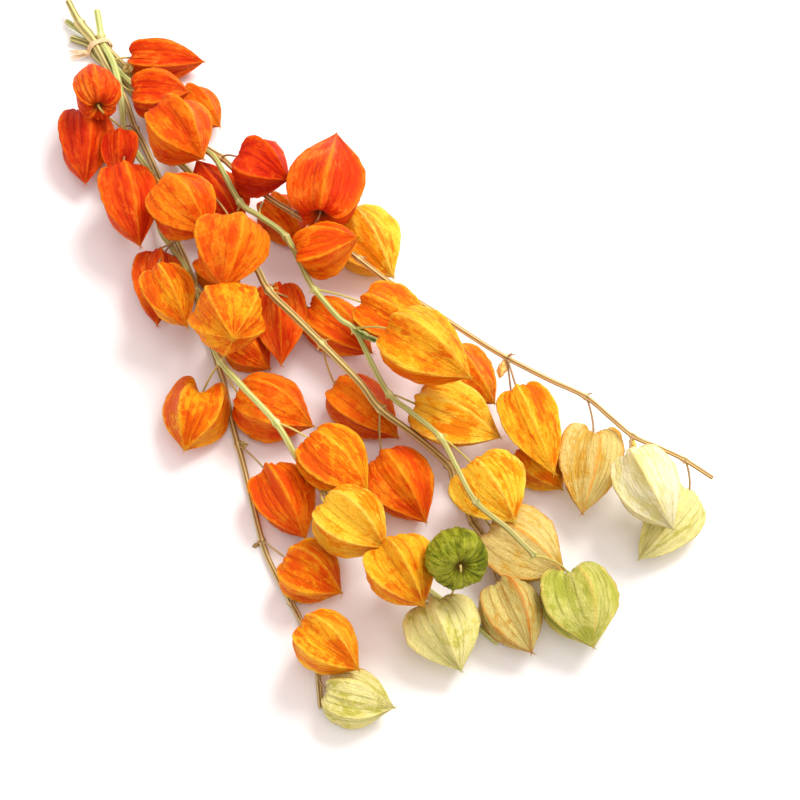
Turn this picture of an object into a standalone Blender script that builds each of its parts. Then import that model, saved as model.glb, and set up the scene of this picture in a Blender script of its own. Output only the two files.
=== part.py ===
"""A tied bunch of dried Chinese lantern stems (Physalis), laid on a table.

Five cut stems, each with its leaf nodes and thin fruit stalks, forty-nine papery lanterns and a raffia tie.
Units are metres, +Z is up, +X runs along the bunch from the cut ends to the tips, and the origin is the
middle of the bounding box's floor.
"""

import math
import random
from itertools import product

import bmesh
import bpy
from mathutils import Matrix, Vector
from mathutils.bvhtree import BVHTree

# How a place in the 800 by 800 picture becomes a place on the table: the picture looks down at a slant.
VIEW_ELEVATION = math.radians(65)
VIEW_AZIMUTH = math.radians(52)
VIEW_DISTANCE = 1.30
PIXEL = 0.00067
PICTURE_MIDDLE = 400

# The lanterns.
RIDGES = 5
COLUMNS = 10
VALLEY = 0.88
TIP_VALLEY = 0.70
RIDGE_SPREAD = 0.06
FLAT_DEPTH = 0.0011
CLEARANCE = 0.0006
FLATTEST = 0.62
SQUASH_STEP = 0.04
LIFT_STEP = 0.0012
DROP_FROM = 0.085
LAY_PASSES = 4
# Outline from the dimple where the stalk enters to the tip: (share of the length, share of half the width).
OUTLINE = (
    (0.00, 0.00),
    (-0.07, 0.26),
    (-0.085, 0.52),
    (-0.01, 0.78),
    (0.13, 0.95),
    (0.31, 1.00),
    (0.50, 0.95),
    (0.68, 0.78),
    (0.83, 0.51),
    (0.94, 0.20),
    (1.00, 0.00),
)

# The stems and their fruit stalks.
ROUND_STEPS = 1
SPAN_STEPS = 2
NODE_SWELL = 1.35
STALK_RADIUS = 0.0007
STALK_STEPS = 6
STALK_GAP = 0.0005
STALK_ROOTS = 24
ARCHES = (0.004, 0.010, 0.018, -0.006, 0.030)
SWAYS = (0.0, 0.010, -0.010, 0.022, -0.022)
APPROACHES = (0.010, 0.018, 0.005, 0.003)
CREST_SHARE = 0.3
STALK_CLEARANCE = 0.00035
SHARP_ANGLE = math.radians(40)

# The tie: the stems pass through it in two layers.
TIE_SPOT = (101, 52)
TIE_COURSE = ((94, 38), (109, 67))
TIE_PITCH = 0.0053
TIE_LOW = 0.0049
TIE_HIGH = 0.0094
TIE_REACH = 0.005
TIE_LAYERS = (-0.0007, 0.0007)
STRAND_RADIUS = 0.0009
KNOT_RADIUS = 0.0022
KNOT_SPOT = (-0.0100, 0.0052)
TIE = ("tie",)
# Half of the tie's loop, as (side, height), from the table up to its top.
TIE_HALF = (
    (0.0, 0.0011),
    (0.0055, 0.0011),
    (0.0082, 0.0024),
    (0.0090, 0.0052),
    (0.0078, 0.0091),
    (0.0056, 0.0121),
    (0.0028, 0.0132),
    (0.0, 0.0133),
)
KNOT_CORNER = 3
# The tie's two short ends: (side, height, forward) along each.
TIE_ENDS = (
    ((-0.0135, 0.0074, -0.0012), (-0.0185, 0.0072, -0.0032), (-0.0235, 0.0062, -0.0060)),
    ((-0.0135, 0.0038, -0.0002), (-0.0185, 0.0034, -0.0016), (-0.0235, 0.0026, -0.0030)),
)

# Each stem: its slot in the tie (side steps, height), its radius at the cut end and at the tip, and its course
# as (x, y) in the picture and the height of its middle in millimetres. A fourth value of True marks a leaf
# node.
STEMS = {
    "stem_a": dict(
        slot=(0.5, TIE_HIGH),
        radius=(0.0024, 0.0019),
        course=(
            (97, 10, 14), (101, 36, 11, True), TIE, (113, 62, 13), (118, 80, 15), (122, 105, 13),
            (125, 131, 11, True), (138, 155, 10), (150, 174, 10, True), (155, 200, 9), (161, 230, 9),
            (171, 246, 10), (187, 271, 12), (197, 292, 14, True), (206, 320, 20), (212, 342, 28),
            (221, 362, 36, True), (240, 384, 43), (276, 423, 43, True), (299, 461, 30), (323, 490, 18, True),
            (350, 517, 10), (380, 548, 6, True), (412, 577, 4), (447, 604, 4), (476, 625, 3), (498, 643, 3),
        ),
    ),
    "stem_b": dict(
        slot=(-0.5, TIE_HIGH),
        radius=(0.0024, 0.0016),
        course=(
            (68, 1, 12), (80, 24, 12, True), TIE, (110, 72, 9), (118, 86, 8), (126, 102, 6),
            (135, 129, 4, True), (144, 145, 3), (159, 179, 3), (169, 210, 3), (177, 240, 3, True),
            (189, 269, 4), (203, 318, 3), (219, 368, 3), (225, 387, 3), (231, 418, 3), (238, 445, 3, True),
            (245, 471, 3), (262, 541, 3, True), (275, 573, 3), (291, 602, 3, True), (301, 622, 3),
            (316, 665, 3), (321, 708, 3),
        ),
    ),
    "stem_c": dict(
        slot=(-1, TIE_LOW),
        radius=(0.0023, 0.0019),
        course=(
            (71, 38, 5), TIE, (113, 72, 3), (124, 84, 3), (137, 98, 3), (151, 115, 3), (165, 137, 5),
            (178, 160, 8, True), (194, 178, 11), (211, 208, 14), (223, 221, 17), (240, 245, 25),
            (257, 269, 36), (269, 291, 44, True), (296, 318, 46), (322, 344, 46, True), (359, 382, 42),
            (380, 409, 36, True), (417, 437, 24), (448, 465, 12, True), (454, 482, 8), (464, 502, 5),
            (473, 522, 4, True), (485, 539, 3), (510, 577, 3), (536, 612, 3),
        ),
    ),
    "stem_d": dict(
        slot=(0, TIE_LOW),
        radius=(0.0023, 0.0019),
        course=(
            (66, 21, 5), TIE, (123, 75, 11), (136, 87, 12), (150, 103, 14), (170, 121, 20),
            (190, 139, 27), (203, 149, 34, True), (217, 161, 40), (240, 202, 45, True), (259, 216, 45),
            (286, 237, 45, True), (308, 279, 45), (315, 290, 46, True), (339, 318, 47), (355, 330, 46, True),
            (372, 364, 43), (389, 394, 41, True), (411, 412, 42), (440, 437, 45, True), (456, 466, 47),
            (476, 502, 47, True), (507, 528, 46), (535, 556, 43, True),
        ),
    ),
    "stem_e": dict(
        slot=(1, TIE_LOW),
        radius=(0.0023, 0.0014),
        course=(
            (103, 38, 5), TIE, (127, 69, 3), (139, 86, 3), (154, 102, 3), (170, 118, 6), (187, 134, 13),
            (203, 146, 22), (222, 158, 28, True), (234, 169, 31), (252, 184, 34), (272, 200, 36),
            (295, 214, 37, True), (313, 226, 37), (335, 241, 37), (359, 259, 38, True), (397, 288, 42),
            (439, 315, 44), (480, 342, 42), (507, 358, 40, True), (550, 380, 38), (586, 397, 36, True),
            (610, 417, 35), (633, 436, 34, True), (660, 448, 33), (685, 460, 32, True), (713, 478, 31),
        ),
    ),
}

FLOOR = "floor"
PILE = "pile"


def husk(base, tip, wide, rests, stem, node, turn=0, rise=0):
    """A lantern's base and tip in the picture, its breadth in pixels, what it rests on, the stem it grew on and
    where its stalk leaves that stem, its turn about its own axis in degrees, and its tip's rise in millimetres."""
    return dict(base=base, tip=tip, wide=wide, rests=rests, stem=stem, node=node, turn=turn, rise=rise)


# The lanterns, in the order in which they are laid down.
LANTERNS = {
    49: husk((201, 397), (182, 450), 66, FLOOR, "stem_a", (221, 362), turn=36),
    2: husk((83, 121), (84, 184), 54, FLOOR, "stem_b", (110, 72)),
    3: husk((121, 136), (120, 180), 38, FLOOR, "stem_b", (135, 129), turn=20),
    5: husk((138, 58), (204, 61), 42, FLOOR, "stem_a", (113, 62)),
    7: husk((187, 97), (221, 126), 40, FLOOR, "stem_d", (150, 103)),
    10: husk((230, 211), (196, 161), 50, FLOOR, "stem_d", (240, 202), turn=15),
    13: husk((271, 206), (305, 245), 44, FLOOR, "stem_d", (259, 216)),
    15: husk((350, 222), (392, 278), 62, FLOOR, "stem_e", (295, 214), turn=10),
    17: husk((206, 262), (240, 292), 40, FLOOR, "stem_a", (197, 292)),
    18: husk((156, 262), (157, 325), 50, FLOOR, "stem_a", (171, 246)),
    21: husk((234, 336), (269, 370), 46, FLOOR, "stem_a", (221, 362), turn=12),
    22: husk((277, 293), (283, 365), 50, FLOOR, "stem_c", (269, 291), turn=18),
    23: husk((316, 313), (372, 354), 52, FLOOR, "stem_c", (269, 291)),
    24: husk((369, 306), (434, 341), 64, FLOOR, "stem_d", (315, 290), turn=8),
    26: husk((450, 358), (494, 405), 54, FLOOR, "stem_e", (439, 315)),
    30: husk((526, 452), (563, 489), 48, FLOOR, "stem_e", (507, 358)),
    28: husk((520, 396), (555, 473), 58, FLOOR, "stem_e", (507, 358), turn=25),
    31: husk((593, 439), (581, 513), 64, FLOOR, "stem_e", (586, 397), turn=10),
    33: husk((685, 501), (640, 560), 54, FLOOR, "stem_e", (685, 460)),
    34: husk((497, 532), (564, 576), 74, FLOOR, "stem_d", (476, 502), turn=14),
    35: husk((570, 578), (592, 648), 72, FLOOR, "stem_d", (535, 556)),
    36: husk((501, 591), (531, 654), 60, FLOOR, "stem_c", (485, 539)),
    38: husk((434, 610), (460, 672), 70, FLOOR, "stem_a", (412, 577), turn=20),
    42: husk((246, 398), (314, 425), 64, FLOOR, "stem_a", (221, 362)),
    43: husk((271, 478), (307, 538), 62, FLOOR, "stem_b", (238, 445), turn=12),
    44: husk((292, 562), (342, 593), 62, FLOOR, "stem_b", (262, 541)),
    46: husk((333, 692), (394, 709), 54, FLOOR, "stem_b", (316, 665)),
    47: husk((386, 464), (426, 522), 64, FLOOR, "stem_c", (380, 409), turn=10),
    48: husk((341, 391), (399, 436), 56, FLOOR, "stem_c", (322, 344)),
    29: husk((476, 469), (516, 522), 72, FLOOR, "stem_d", (440, 437), turn=16),
    41: husk((314, 443), (368, 490), 64, FLOOR, "stem_a", (276, 423)),
    27: husk((423, 407), (501, 437), 72, FLOOR, "stem_d", (389, 394), turn=10),
    45: husk((307, 629), (359, 670), 62, PILE, "stem_b", (291, 602)),
    40: husk((330, 508), (385, 550), 72, PILE, "stem_a", (323, 490)),
    39: husk((388, 552), (426, 605), 74, PILE, "stem_a", (380, 548), turn=10),
    37: husk((460, 565), (446, 538), 56, PILE, "stem_a", (447, 604), rise=-24),
    32: husk((634, 461), (672, 530), 62, PILE, "stem_e", (633, 436), turn=24),
    25: husk((397, 333), (470, 378), 76, PILE, "stem_d", (355, 330), turn=12),
    6: husk((139, 92), (190, 91), 52, PILE, "stem_a", (118, 80)),
    4: husk((123, 176), (140, 246), 56, PILE, "stem_b", (135, 129), turn=8),
    1: husk((98, 104), (90, 66), 46, PILE, "stem_a", (125, 131), turn=30, rise=-14),
    8: husk((166, 116), (204, 159), 66, PILE, "stem_c", (178, 160)),
    9: husk((168, 191), (209, 235), 64, PILE, "stem_a", (150, 174), turn=10),
    16: husk((232, 228), (224, 289), 76, PILE, "stem_c", (194, 178)),
    19: husk((159, 276), (187, 327), 48, PILE, "stem_b", (177, 240), turn=15),
    20: husk((227, 310), (234, 338), 70, PILE, "stem_a", (197, 292), turn=36, rise=24),
    12: husk((321, 210), (338, 135), 74, PILE, "stem_e", (313, 226), turn=20),
    11: husk((245, 160), (288, 180), 64, PILE, "stem_e", (222, 158)),
    14: husk((306, 251), (358, 236), 56, PILE, "stem_d", (286, 237), rise=14),
}


# Colours, with the numbers of the lanterns that have ripened to each.
HUSKS = {
    "red": ((0.72, 0.055, 0.012), (1, 2, 3, 4, 5, 6, 8, 9, 10, 11, 12, 13, 17, 18, 21, 22, 23, 42, 43, 47, 48)),
    "orange": (
        (0.85, 0.20, 0.015),
        (7, 14, 15, 16, 19, 20, 24, 25, 26, 27, 28, 29, 30, 39, 40, 41, 44, 45, 49),
    ),
    "cream": ((0.78, 0.62, 0.22), (31, 32, 34, 36, 46)),
    "green": ((0.42, 0.52, 0.13), (33, 35, 37, 38)),
}
HUSK_ROUGHNESS = 0.55
STEM_COLOURS = {
    "stem_a": (0.48, 0.52, 0.16),
    "stem_b": (0.36, 0.24, 0.10),
    "stem_c": (0.26, 0.20, 0.08),
    "stem_d": (0.45, 0.48, 0.17),
    "stem_e": (0.38, 0.26, 0.11),
}
STEM_ROUGHNESS = 0.6
RAFFIA_COLOUR = (0.86, 0.66, 0.42)
RAFFIA_ROUGHNESS = 0.8


def material(name, colour, roughness):
    made = bpy.data.materials.new(name)
    made.use_nodes = True
    shader = made.node_tree.nodes["Principled BSDF"]
    shader.inputs["Base Color"].default_value = (*colour, 1.0)
    shader.inputs["Roughness"].default_value = roughness
    made.diffuse_color = (*colour, 1.0)
    return made


def sight():
    """The direction in which the picture looks."""
    level = math.cos(VIEW_ELEVATION)
    return Vector((-math.sin(VIEW_AZIMUTH) * level, math.cos(VIEW_AZIMUTH) * level, -math.sin(VIEW_ELEVATION)))


def spot(pixel, height):
    """The point at this height that the picture shows at this pixel."""
    look = sight()
    right = Vector((math.cos(VIEW_AZIMUTH), math.sin(VIEW_AZIMUTH), 0))
    eye = -look * VIEW_DISTANCE
    across = (pixel[0] - PICTURE_MIDDLE) * PIXEL / VIEW_DISTANCE
    down = (pixel[1] - PICTURE_MIDDLE) * PIXEL / VIEW_DISTANCE
    ray = look + right * across - right.cross(look) * down
    return eye + ray * ((height - eye.z) / ray.z)


def smooth_course(points):
    """Points along the smooth curve through these ones, SPAN_STEPS to a span."""
    padded = [points[0] * 2 - points[1], *points, points[-1] * 2 - points[-2]]
    course = []
    for before, here, after, beyond in zip(padded, padded[1:], padded[2:], padded[3:]):
        for step in range(SPAN_STEPS):
            t = step / SPAN_STEPS
            turn = (after - before) * t + (before * 2 - here * 5 + after * 4 - beyond) * t**2
            turn += (here * 3 - before - after * 3 + beyond) * t**3
            course.append(here + turn * 0.5)
    return course + [points[-1]]


def tube(name, course, radii, resolution):
    """A closed tube along the course, as a mesh object."""
    data = bpy.data.curves.new(name, "CURVE")
    data.dimensions = "3D"
    data.bevel_depth = 1.0
    data.bevel_resolution = resolution
    data.use_fill_caps = True
    spline = data.splines.new("POLY")
    spline.points.add(len(course) - 1)
    for point, place, radius in zip(spline.points, course, radii):
        point.co = (*place, 1.0)
        point.radius = radius
    guide = bpy.data.objects.new(name, data)
    bpy.context.scene.collection.objects.link(guide)
    graph = bpy.context.evaluated_depsgraph_get()
    mesh = bpy.data.meshes.new_from_object(guide.evaluated_get(graph))
    bpy.data.objects.remove(guide)
    weld(mesh)
    made = bpy.data.objects.new(name, mesh)
    bpy.context.scene.collection.objects.link(made)
    return made


def weld(mesh):
    work = bmesh.new()
    work.from_mesh(mesh)
    bmesh.ops.remove_doubles(work, verts=work.verts, dist=1e-6)
    bmesh.ops.recalc_face_normals(work, faces=work.faces)
    work.to_mesh(mesh)
    work.free()


def keep_main_body(mesh):
    """Drops the scraps and sealed hollows that a union can leave, which are the smaller closed shells."""
    work = bmesh.new()
    work.from_mesh(mesh)
    left = set(work.faces)
    shells = []
    while left:
        shell = set()
        edge = {left.pop()}
        while edge:
            shell |= edge
            edge = {near for face in edge for side in face.edges for near in side.link_faces} - shell
        left -= shell
        shells.append(shell)
    shells.sort(key=lambda shell: sum(face.calc_area() for face in shell))
    scraps = {corner for shell in shells[:-1] for face in shell for corner in face.verts}
    bmesh.ops.delete(work, geom=list(scraps), context="VERTS")
    work.to_mesh(mesh)
    work.free()


def tree_of(thing, margin=0.0):
    """A tree of the object's faces in world space, swollen by the margin."""
    mesh = thing.data
    places = [thing.matrix_world @ (vertex.co + vertex.normal * margin) for vertex in mesh.vertices]
    return BVHTree.FromPolygons(places, [tuple(face.vertices) for face in mesh.polygons])


# The stems.


def tie_frame():
    """The tie's middle on the table, and the directions along and across the stems there."""
    along = (spot(TIE_COURSE[1], 0) - spot(TIE_COURSE[0], 0)).normalized()
    return spot(TIE_SPOT, 0), along, Vector((-along.y, along.x, 0))


def stem_course(stem):
    """The stem's smooth course, its radius at each point, and the point's number for each picture place."""
    middle, along, across = tie_frame()
    side, height = stem["slot"]
    at_tie = middle + across * side * TIE_PITCH + Vector((0, 0, height))
    places = []
    node_at = {}
    for entry in stem["course"]:
        if entry == TIE:
            places += [at_tie - along * TIE_REACH, at_tie + along * TIE_REACH]
        else:
            node_at[entry[:2]] = len(places) * SPAN_STEPS
            places.append(spot(entry[:2], entry[2] / 1000))
    course = smooth_course(places)
    thick, thin = stem["radius"]
    radii = [thick + (thin - thick) * index / (len(course) - 1) for index in range(len(course))]
    for entry in stem["course"]:
        if len(entry) > 3 and entry != TIE:
            radii[node_at[entry[:2]]] *= NODE_SWELL
    return course, radii, node_at


# The lanterns.


def lantern_shape(number):
    """A lantern one metre long and wide, its stalk dimple at the origin and its tip along +Z."""
    chance = random.Random(number)
    ridges = [1 + chance.uniform(-RIDGE_SPREAD, RIDGE_SPREAD) for _ in range(RIDGES)]
    valleys = [VALLEY + chance.uniform(-RIDGE_SPREAD, RIDGE_SPREAD) for _ in range(RIDGES)]
    rings = len(OUTLINE) - 1
    work = bmesh.new()
    bmesh.ops.create_uvsphere(work, u_segments=COLUMNS, v_segments=rings, radius=1.0)
    for vertex in work.verts:
        ring = rings - round(math.acos(max(-1, min(1, -vertex.co.z))) / math.pi * rings)
        column = round(math.atan2(vertex.co.y, vertex.co.x) / math.tau * COLUMNS) % COLUMNS
        along, out = OUTLINE[ring]
        reach = ridges[column // 2]
        if column % 2:
            pinch = max(0, 2 * ring / rings - 1)
            reach = valleys[column // 2] * (1 - pinch) + TIP_VALLEY * pinch
        angle = math.tau * column / COLUMNS
        vertex.co = (out / 2 * reach * math.cos(angle), out / 2 * reach * math.sin(angle), along)
    bmesh.ops.recalc_face_normals(work, faces=work.faces)
    return work


def lay_lantern(shape, plan, lowest, squash):
    """Where the shape's points lie with the lantern's lowest point at this height."""
    base_height = lowest + plan["wide"] * PIXEL / 2
    for _ in range(LAY_PASSES):
        base = spot(plan["base"], base_height)
        axis = spot(plan["tip"], base_height + plan["rise"] / 1000) - base
        width = plan["wide"] * PIXEL * (1 + base.dot(sight()) / VIEW_DISTANCE)
        frame = Matrix.Translation(base) @ axis.to_track_quat("Z", "Y").to_matrix().to_4x4()
        frame = frame @ Matrix.Rotation(math.radians(plan["turn"]), 4, "Z")
        frame = frame @ Matrix.Diagonal((width, width, axis.length, 1))
        points = [frame @ vertex.co for vertex in shape.verts]
        bottom = min(point.z for point in points)
        base_height = lowest + (base_height - bottom) * squash
    for point in points:
        point.z = lowest + (point.z - bottom) * squash
    return points


def touches(points, faces, placed):
    """The names of the placed things that come within the clearance of these faces."""
    middle = sum(points, Vector()) / len(points)
    swollen = [point + (point - middle).normalized() * CLEARANCE for point in points]
    tree = BVHTree.FromPolygons(swollen, faces)
    return [name for name, other in placed.items() if other.overlap(tree)]


def settle(shape, plan, placed):
    """The lantern's points where it rests: on the table and pressed flatter, or slid down onto the pile."""
    faces = [[vertex.index for vertex in face.verts] for face in shape.faces]
    if plan["rests"] == FLOOR:
        squash = 1.0
        points = lay_lantern(shape, plan, -FLAT_DEPTH, squash)
        while squash > FLATTEST and touches(points, faces, placed):
            squash -= SQUASH_STEP
            points = lay_lantern(shape, plan, -FLAT_DEPTH, squash)
        lift = -FLAT_DEPTH
        while touches(points, faces, placed):
            lift += LIFT_STEP
            points = lay_lantern(shape, plan, lift, squash)
        return points
    lift = DROP_FROM
    points = lay_lantern(shape, plan, lift, 1.0)
    while lift > 0:
        lower = lay_lantern(shape, plan, lift - LIFT_STEP, 1.0)
        if touches(lower, faces, placed):
            break
        points = lower
        lift -= LIFT_STEP
    return points


def lantern(number, plan, placed):
    """The lantern as an object, cut flat where it rests on the table."""
    name = f"lantern_{number:02d}"
    shape = lantern_shape(number)
    shape.verts.index_update()
    points = settle(shape, plan, placed)
    for vertex, point in zip(shape.verts, points):
        vertex.co = point
    if min(point.z for point in points) < 0:
        geometry = [*shape.verts, *shape.edges, *shape.faces]
        down = Vector((0, 0, -1))
        cut = bmesh.ops.bisect_plane(shape, geom=geometry, plane_co=Vector(), plane_no=down, clear_outer=True)
        rim = [item for item in cut["geom_cut"] if isinstance(item, bmesh.types.BMEdge)]
        bmesh.ops.edgeloop_fill(shape, edges=rim)
    bmesh.ops.recalc_face_normals(shape, faces=shape.faces)
    if shape.calc_volume(signed=True) < 0:
        bmesh.ops.reverse_faces(shape, faces=shape.faces)
    mesh = bpy.data.meshes.new(name)
    shape.to_mesh(mesh)
    shape.free()
    made = bpy.data.objects.new(name, mesh)
    bpy.context.scene.collection.objects.link(made)
    base = points[0]
    return made, base


# The fruit stalks.


def stalk_route(start, base, axis, arch, sway, approach):
    """Points from inside the stem, over an arch, into the dimple along the lantern's axis."""
    end = base - axis * STALK_GAP
    lead = base - axis * approach
    side = axis.cross(Vector((0, 0, 1))).normalized()
    crest = start + Vector((0, 0, arch)) + side * sway + (lead - start) * CREST_SHARE
    route = []
    for step in range(STALK_STEPS + 1):
        t = step / STALK_STEPS
        s = 1 - t
        route.append(start * s**3 + crest * 3 * s * s * t + lead * 3 * s * t * t + end * t**3)
    return route


def near(route, blocked):
    """Whether a point of the route comes too near another piece's surface."""
    reach = STALK_RADIUS + STALK_CLEARANCE
    return any(tree.find_nearest(point, reach)[0] for tree in blocked for point in route[:-1])


def stalk(course, node, base, axis, blocked):
    """The first stalk that is clear of every other piece, from the nearest leaf node outward along the stem."""
    order = sorted(range(2, len(course) - 1), key=lambda index: abs(index - node))
    for index, arch, sway, approach in product(order[:STALK_ROOTS], ARCHES, SWAYS, APPROACHES):
        route = stalk_route(course[index], base, axis, arch, sway, approach)
        if min(point.z for point in route) < STALK_RADIUS or near(route, blocked):
            continue
        made = tube("stalk", route, [STALK_RADIUS] * len(route), 0)
        tree = tree_of(made, STALK_CLEARANCE)
        if not any(other.overlap(tree) for other in blocked):
            return made, tree
        bpy.data.meshes.remove(made.data)
    raise ValueError("no stalk reaches this lantern clear of the others")


def fuse(body, pieces):
    """Joins the pieces to the body with one union."""
    if not pieces:
        return
    extras = bpy.data.collections.new("extras")
    bpy.context.scene.collection.children.link(extras)
    for piece in pieces:
        bpy.context.scene.collection.objects.unlink(piece)
        extras.objects.link(piece)
    union = body.modifiers.new("union", "BOOLEAN")
    union.operation = "UNION"
    union.operand_type = "COLLECTION"
    union.collection = extras
    union.solver = "MANIFOLD"
    graph = bpy.context.evaluated_depsgraph_get()
    mesh = bpy.data.meshes.new_from_object(body.evaluated_get(graph))
    body.modifiers.remove(union)
    body.data = mesh
    for piece in pieces:
        bpy.data.objects.remove(piece)
    bpy.data.collections.remove(extras)
    keep_main_body(body.data)


# The raffia tie.


def tie():
    """Two turns of raffia round the stems, with a knot and two short ends on the left."""
    middle, along, across = tie_frame()

    def at(side, height, forward=0.0):
        return middle + across * side + along * forward + Vector((0, 0, height))

    ring = list(TIE_HALF) + [(-side, height) for side, height in TIE_HALF[-2:0:-1]]
    corner = len(ring) - KNOT_CORNER
    ring = ring[corner:] + ring[: corner + 1]
    turns = []
    for shift in TIE_LAYERS:
        route = [at(side, height, shift) for side, height in ring]
        turns.append(tube("raffia_tie", route, [STRAND_RADIUS] * len(route), ROUND_STEPS))
    knot = bpy.data.meshes.new("knot")
    work = bmesh.new()
    bmesh.ops.create_icosphere(work, subdivisions=2, radius=KNOT_RADIUS)
    work.to_mesh(knot)
    work.free()
    bulge = bpy.data.objects.new("knot", knot)
    bulge.location = at(*KNOT_SPOT)
    bpy.context.scene.collection.objects.link(bulge)
    ends = []
    for stops in TIE_ENDS:
        route = smooth_course([at(*KNOT_SPOT), *(at(*stop) for stop in stops)])
        ends.append(tube("end", route, [STRAND_RADIUS] * len(route), ROUND_STEPS))
    fuse(turns[0], [turns[1], bulge, *ends])
    return turns[0]


def husk_material(number):
    colour = next(shade for shade, numbers in HUSKS.values() if number in numbers)
    return material(f"husk_{number:02d}", colour, HUSK_ROUGHNESS)


def finish(bunch, origins):
    """Sets each piece's own origin, and moves the bunch so that its box stands on the middle of its floor."""
    corners = [vertex.co for thing in origins for vertex in thing.data.vertices]
    low = Vector([min(corner[axis] for corner in corners) for axis in range(3)])
    high = Vector([max(corner[axis] for corner in corners) for axis in range(3)])
    shift = Vector(((low.x + high.x) / 2, (low.y + high.y) / 2, low.z))
    for thing, place in origins.items():
        move_origin(thing, place)
        thing.location -= shift
        thing.data.shade_smooth()
        thing.data.set_sharp_from_angle(angle=SHARP_ANGLE)
        for owner in list(thing.users_collection):
            owner.objects.unlink(thing)
        bunch.objects.link(thing)


def move_origin(thing, place):
    """Moves the object's own origin to this place, and leaves its shape where it is."""
    thing.data.transform(Matrix.Translation(-place))
    thing.location = place


def main():
    for thing in list(bpy.data.objects):
        bpy.data.objects.remove(thing)
    bunch = bpy.data.collections.new("physalis_bunch")
    bpy.context.scene.collection.children.link(bunch)
    placed = {}
    origins = {}
    band = tie()
    placed[band.name] = tree_of(band)
    origins[band] = tie_frame()[0]
    courses = {}
    for name, plan in STEMS.items():
        course, radii, spots = stem_course(plan)
        stem = tube(name, course, radii, ROUND_STEPS)
        courses[name] = (stem, course, spots)
        placed[name] = tree_of(stem)
        origins[stem] = course[0]
    lanterns = {}
    for number, plan in LANTERNS.items():
        made, base = lantern(number, plan, placed)
        placed[made.name] = tree_of(made)
        lanterns[number] = (made, base)
        origins[made] = base
    stalks = {name: [] for name in STEMS}
    stalk_trees = []
    for number, plan in LANTERNS.items():
        made, base = lanterns[number]
        stem, course, spots = courses[plan["stem"]]
        tip = max(made.data.vertices, key=lambda vertex: (vertex.co - base).length).co
        axis = (tip - base).normalized()
        blocked = [tree for name, tree in placed.items() if name != stem.name]
        blocked += [tree for owner, tree in stalk_trees if owner != stem.name]
        piece, tree = stalk(course, spots[plan["node"]], base, axis, blocked)
        stalks[stem.name].append(piece)
        stalk_trees.append((stem.name, tree))
    for name, pieces in stalks.items():
        stem = courses[name][0]
        fuse(stem, pieces)
        stem.data.materials.append(material(name, STEM_COLOURS[name], STEM_ROUGHNESS))
    for number, (made, _) in lanterns.items():
        made.data.materials.append(husk_material(number))
    band.data.materials.append(material("raffia", RAFFIA_COLOUR, RAFFIA_ROUGHNESS))
    finish(bunch, origins)


main()
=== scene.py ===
"""The looks of a tied bunch of dried Chinese lantern stems, laid on a pale table.

Five stems with their fruit stalks, forty-nine papery husks and a raffia tie. Units are metres, +Z is up.
"""

import math
import random
from itertools import product

import bmesh
import bpy
import numpy as np
from mathutils import Matrix, Vector, noise


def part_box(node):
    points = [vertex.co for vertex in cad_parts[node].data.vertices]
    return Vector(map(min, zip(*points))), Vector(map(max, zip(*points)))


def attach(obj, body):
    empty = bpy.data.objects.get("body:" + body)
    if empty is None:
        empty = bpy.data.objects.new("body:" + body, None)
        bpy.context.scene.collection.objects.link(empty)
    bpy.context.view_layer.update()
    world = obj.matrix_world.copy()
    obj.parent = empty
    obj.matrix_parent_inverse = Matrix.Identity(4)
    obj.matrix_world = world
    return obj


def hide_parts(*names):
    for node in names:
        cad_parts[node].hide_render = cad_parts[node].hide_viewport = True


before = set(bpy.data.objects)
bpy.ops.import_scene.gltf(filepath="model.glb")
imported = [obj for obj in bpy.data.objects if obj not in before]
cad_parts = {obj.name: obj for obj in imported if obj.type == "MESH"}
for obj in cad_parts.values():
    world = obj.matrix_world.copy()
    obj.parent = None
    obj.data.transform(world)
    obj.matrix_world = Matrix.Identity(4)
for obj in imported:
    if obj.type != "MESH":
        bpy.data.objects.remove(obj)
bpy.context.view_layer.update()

# How a place in the 800 by 800 picture becomes a place on the table: the picture looks down at a slant.
VIEW_ELEVATION = math.radians(65)
VIEW_AZIMUTH = math.radians(52)
VIEW_DISTANCE = 1.30
PIXEL = 0.00067
PICTURE_MIDDLE = 400
SENSOR = 36.0

# The husks' main form, as the solids have it.
RIDGES = 5
VALLEY = 0.88
TIP_VALLEY = 0.70
RIDGE_SPREAD = 0.06
FLAT_DEPTH = 0.0011
SQUASH_STEP = 0.04
SQUASH_STEPS = 11
OUTLINE = (
    (0.00, 0.00),
    (-0.07, 0.26),
    (-0.085, 0.52),
    (-0.01, 0.78),
    (0.13, 0.95),
    (0.31, 1.00),
    (0.50, 0.95),
    (0.68, 0.78),
    (0.83, 0.51),
    (0.94, 0.20),
    (1.00, 0.00),
)

# The husks' fine form. The paper is widest near the stalk and runs straighter to the tip. The heights of its
# ribs, folds and crumples are shares of its reach from the axis.
PAPER_OUTLINE = (
    (0.00, 0.00),
    (-0.05, 0.24),
    (-0.085, 0.50),
    (-0.04, 0.80),
    (0.09, 1.00),
    (0.27, 1.05),
    (0.46, 0.96),
    (0.64, 0.75),
    (0.80, 0.48),
    (0.92, 0.20),
    (1.00, 0.015),
)
PANEL_FLATNESS = 0.09
PAPER_SCALE = 0.045
HUSK_COLUMNS = 150
HUSK_RINGS = 60
VEINS = (0.27, 0.50, 0.74)
RIDGE_SHARPNESS = 2.2
RIB_HEIGHT = 0.030
CREASE_HEIGHT = 0.075
VEIN_HEIGHT = 0.010
PLEAT_HEIGHT = 0.058
CRUMPLE_HEIGHT = 0.026
SMALL_CRUMPLE_HEIGHT = 0.018
SWELL_HEIGHT = 0.040
GRAIN_HEIGHT = 0.010
LOBE_SAG = 0.010
RAGGED_HEIGHT = 0.042
TOOTH_LENGTH = 0.0034
TOOTH_RADIUS = 0.00038
TOOTH_ROOT = 0.0012
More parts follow.
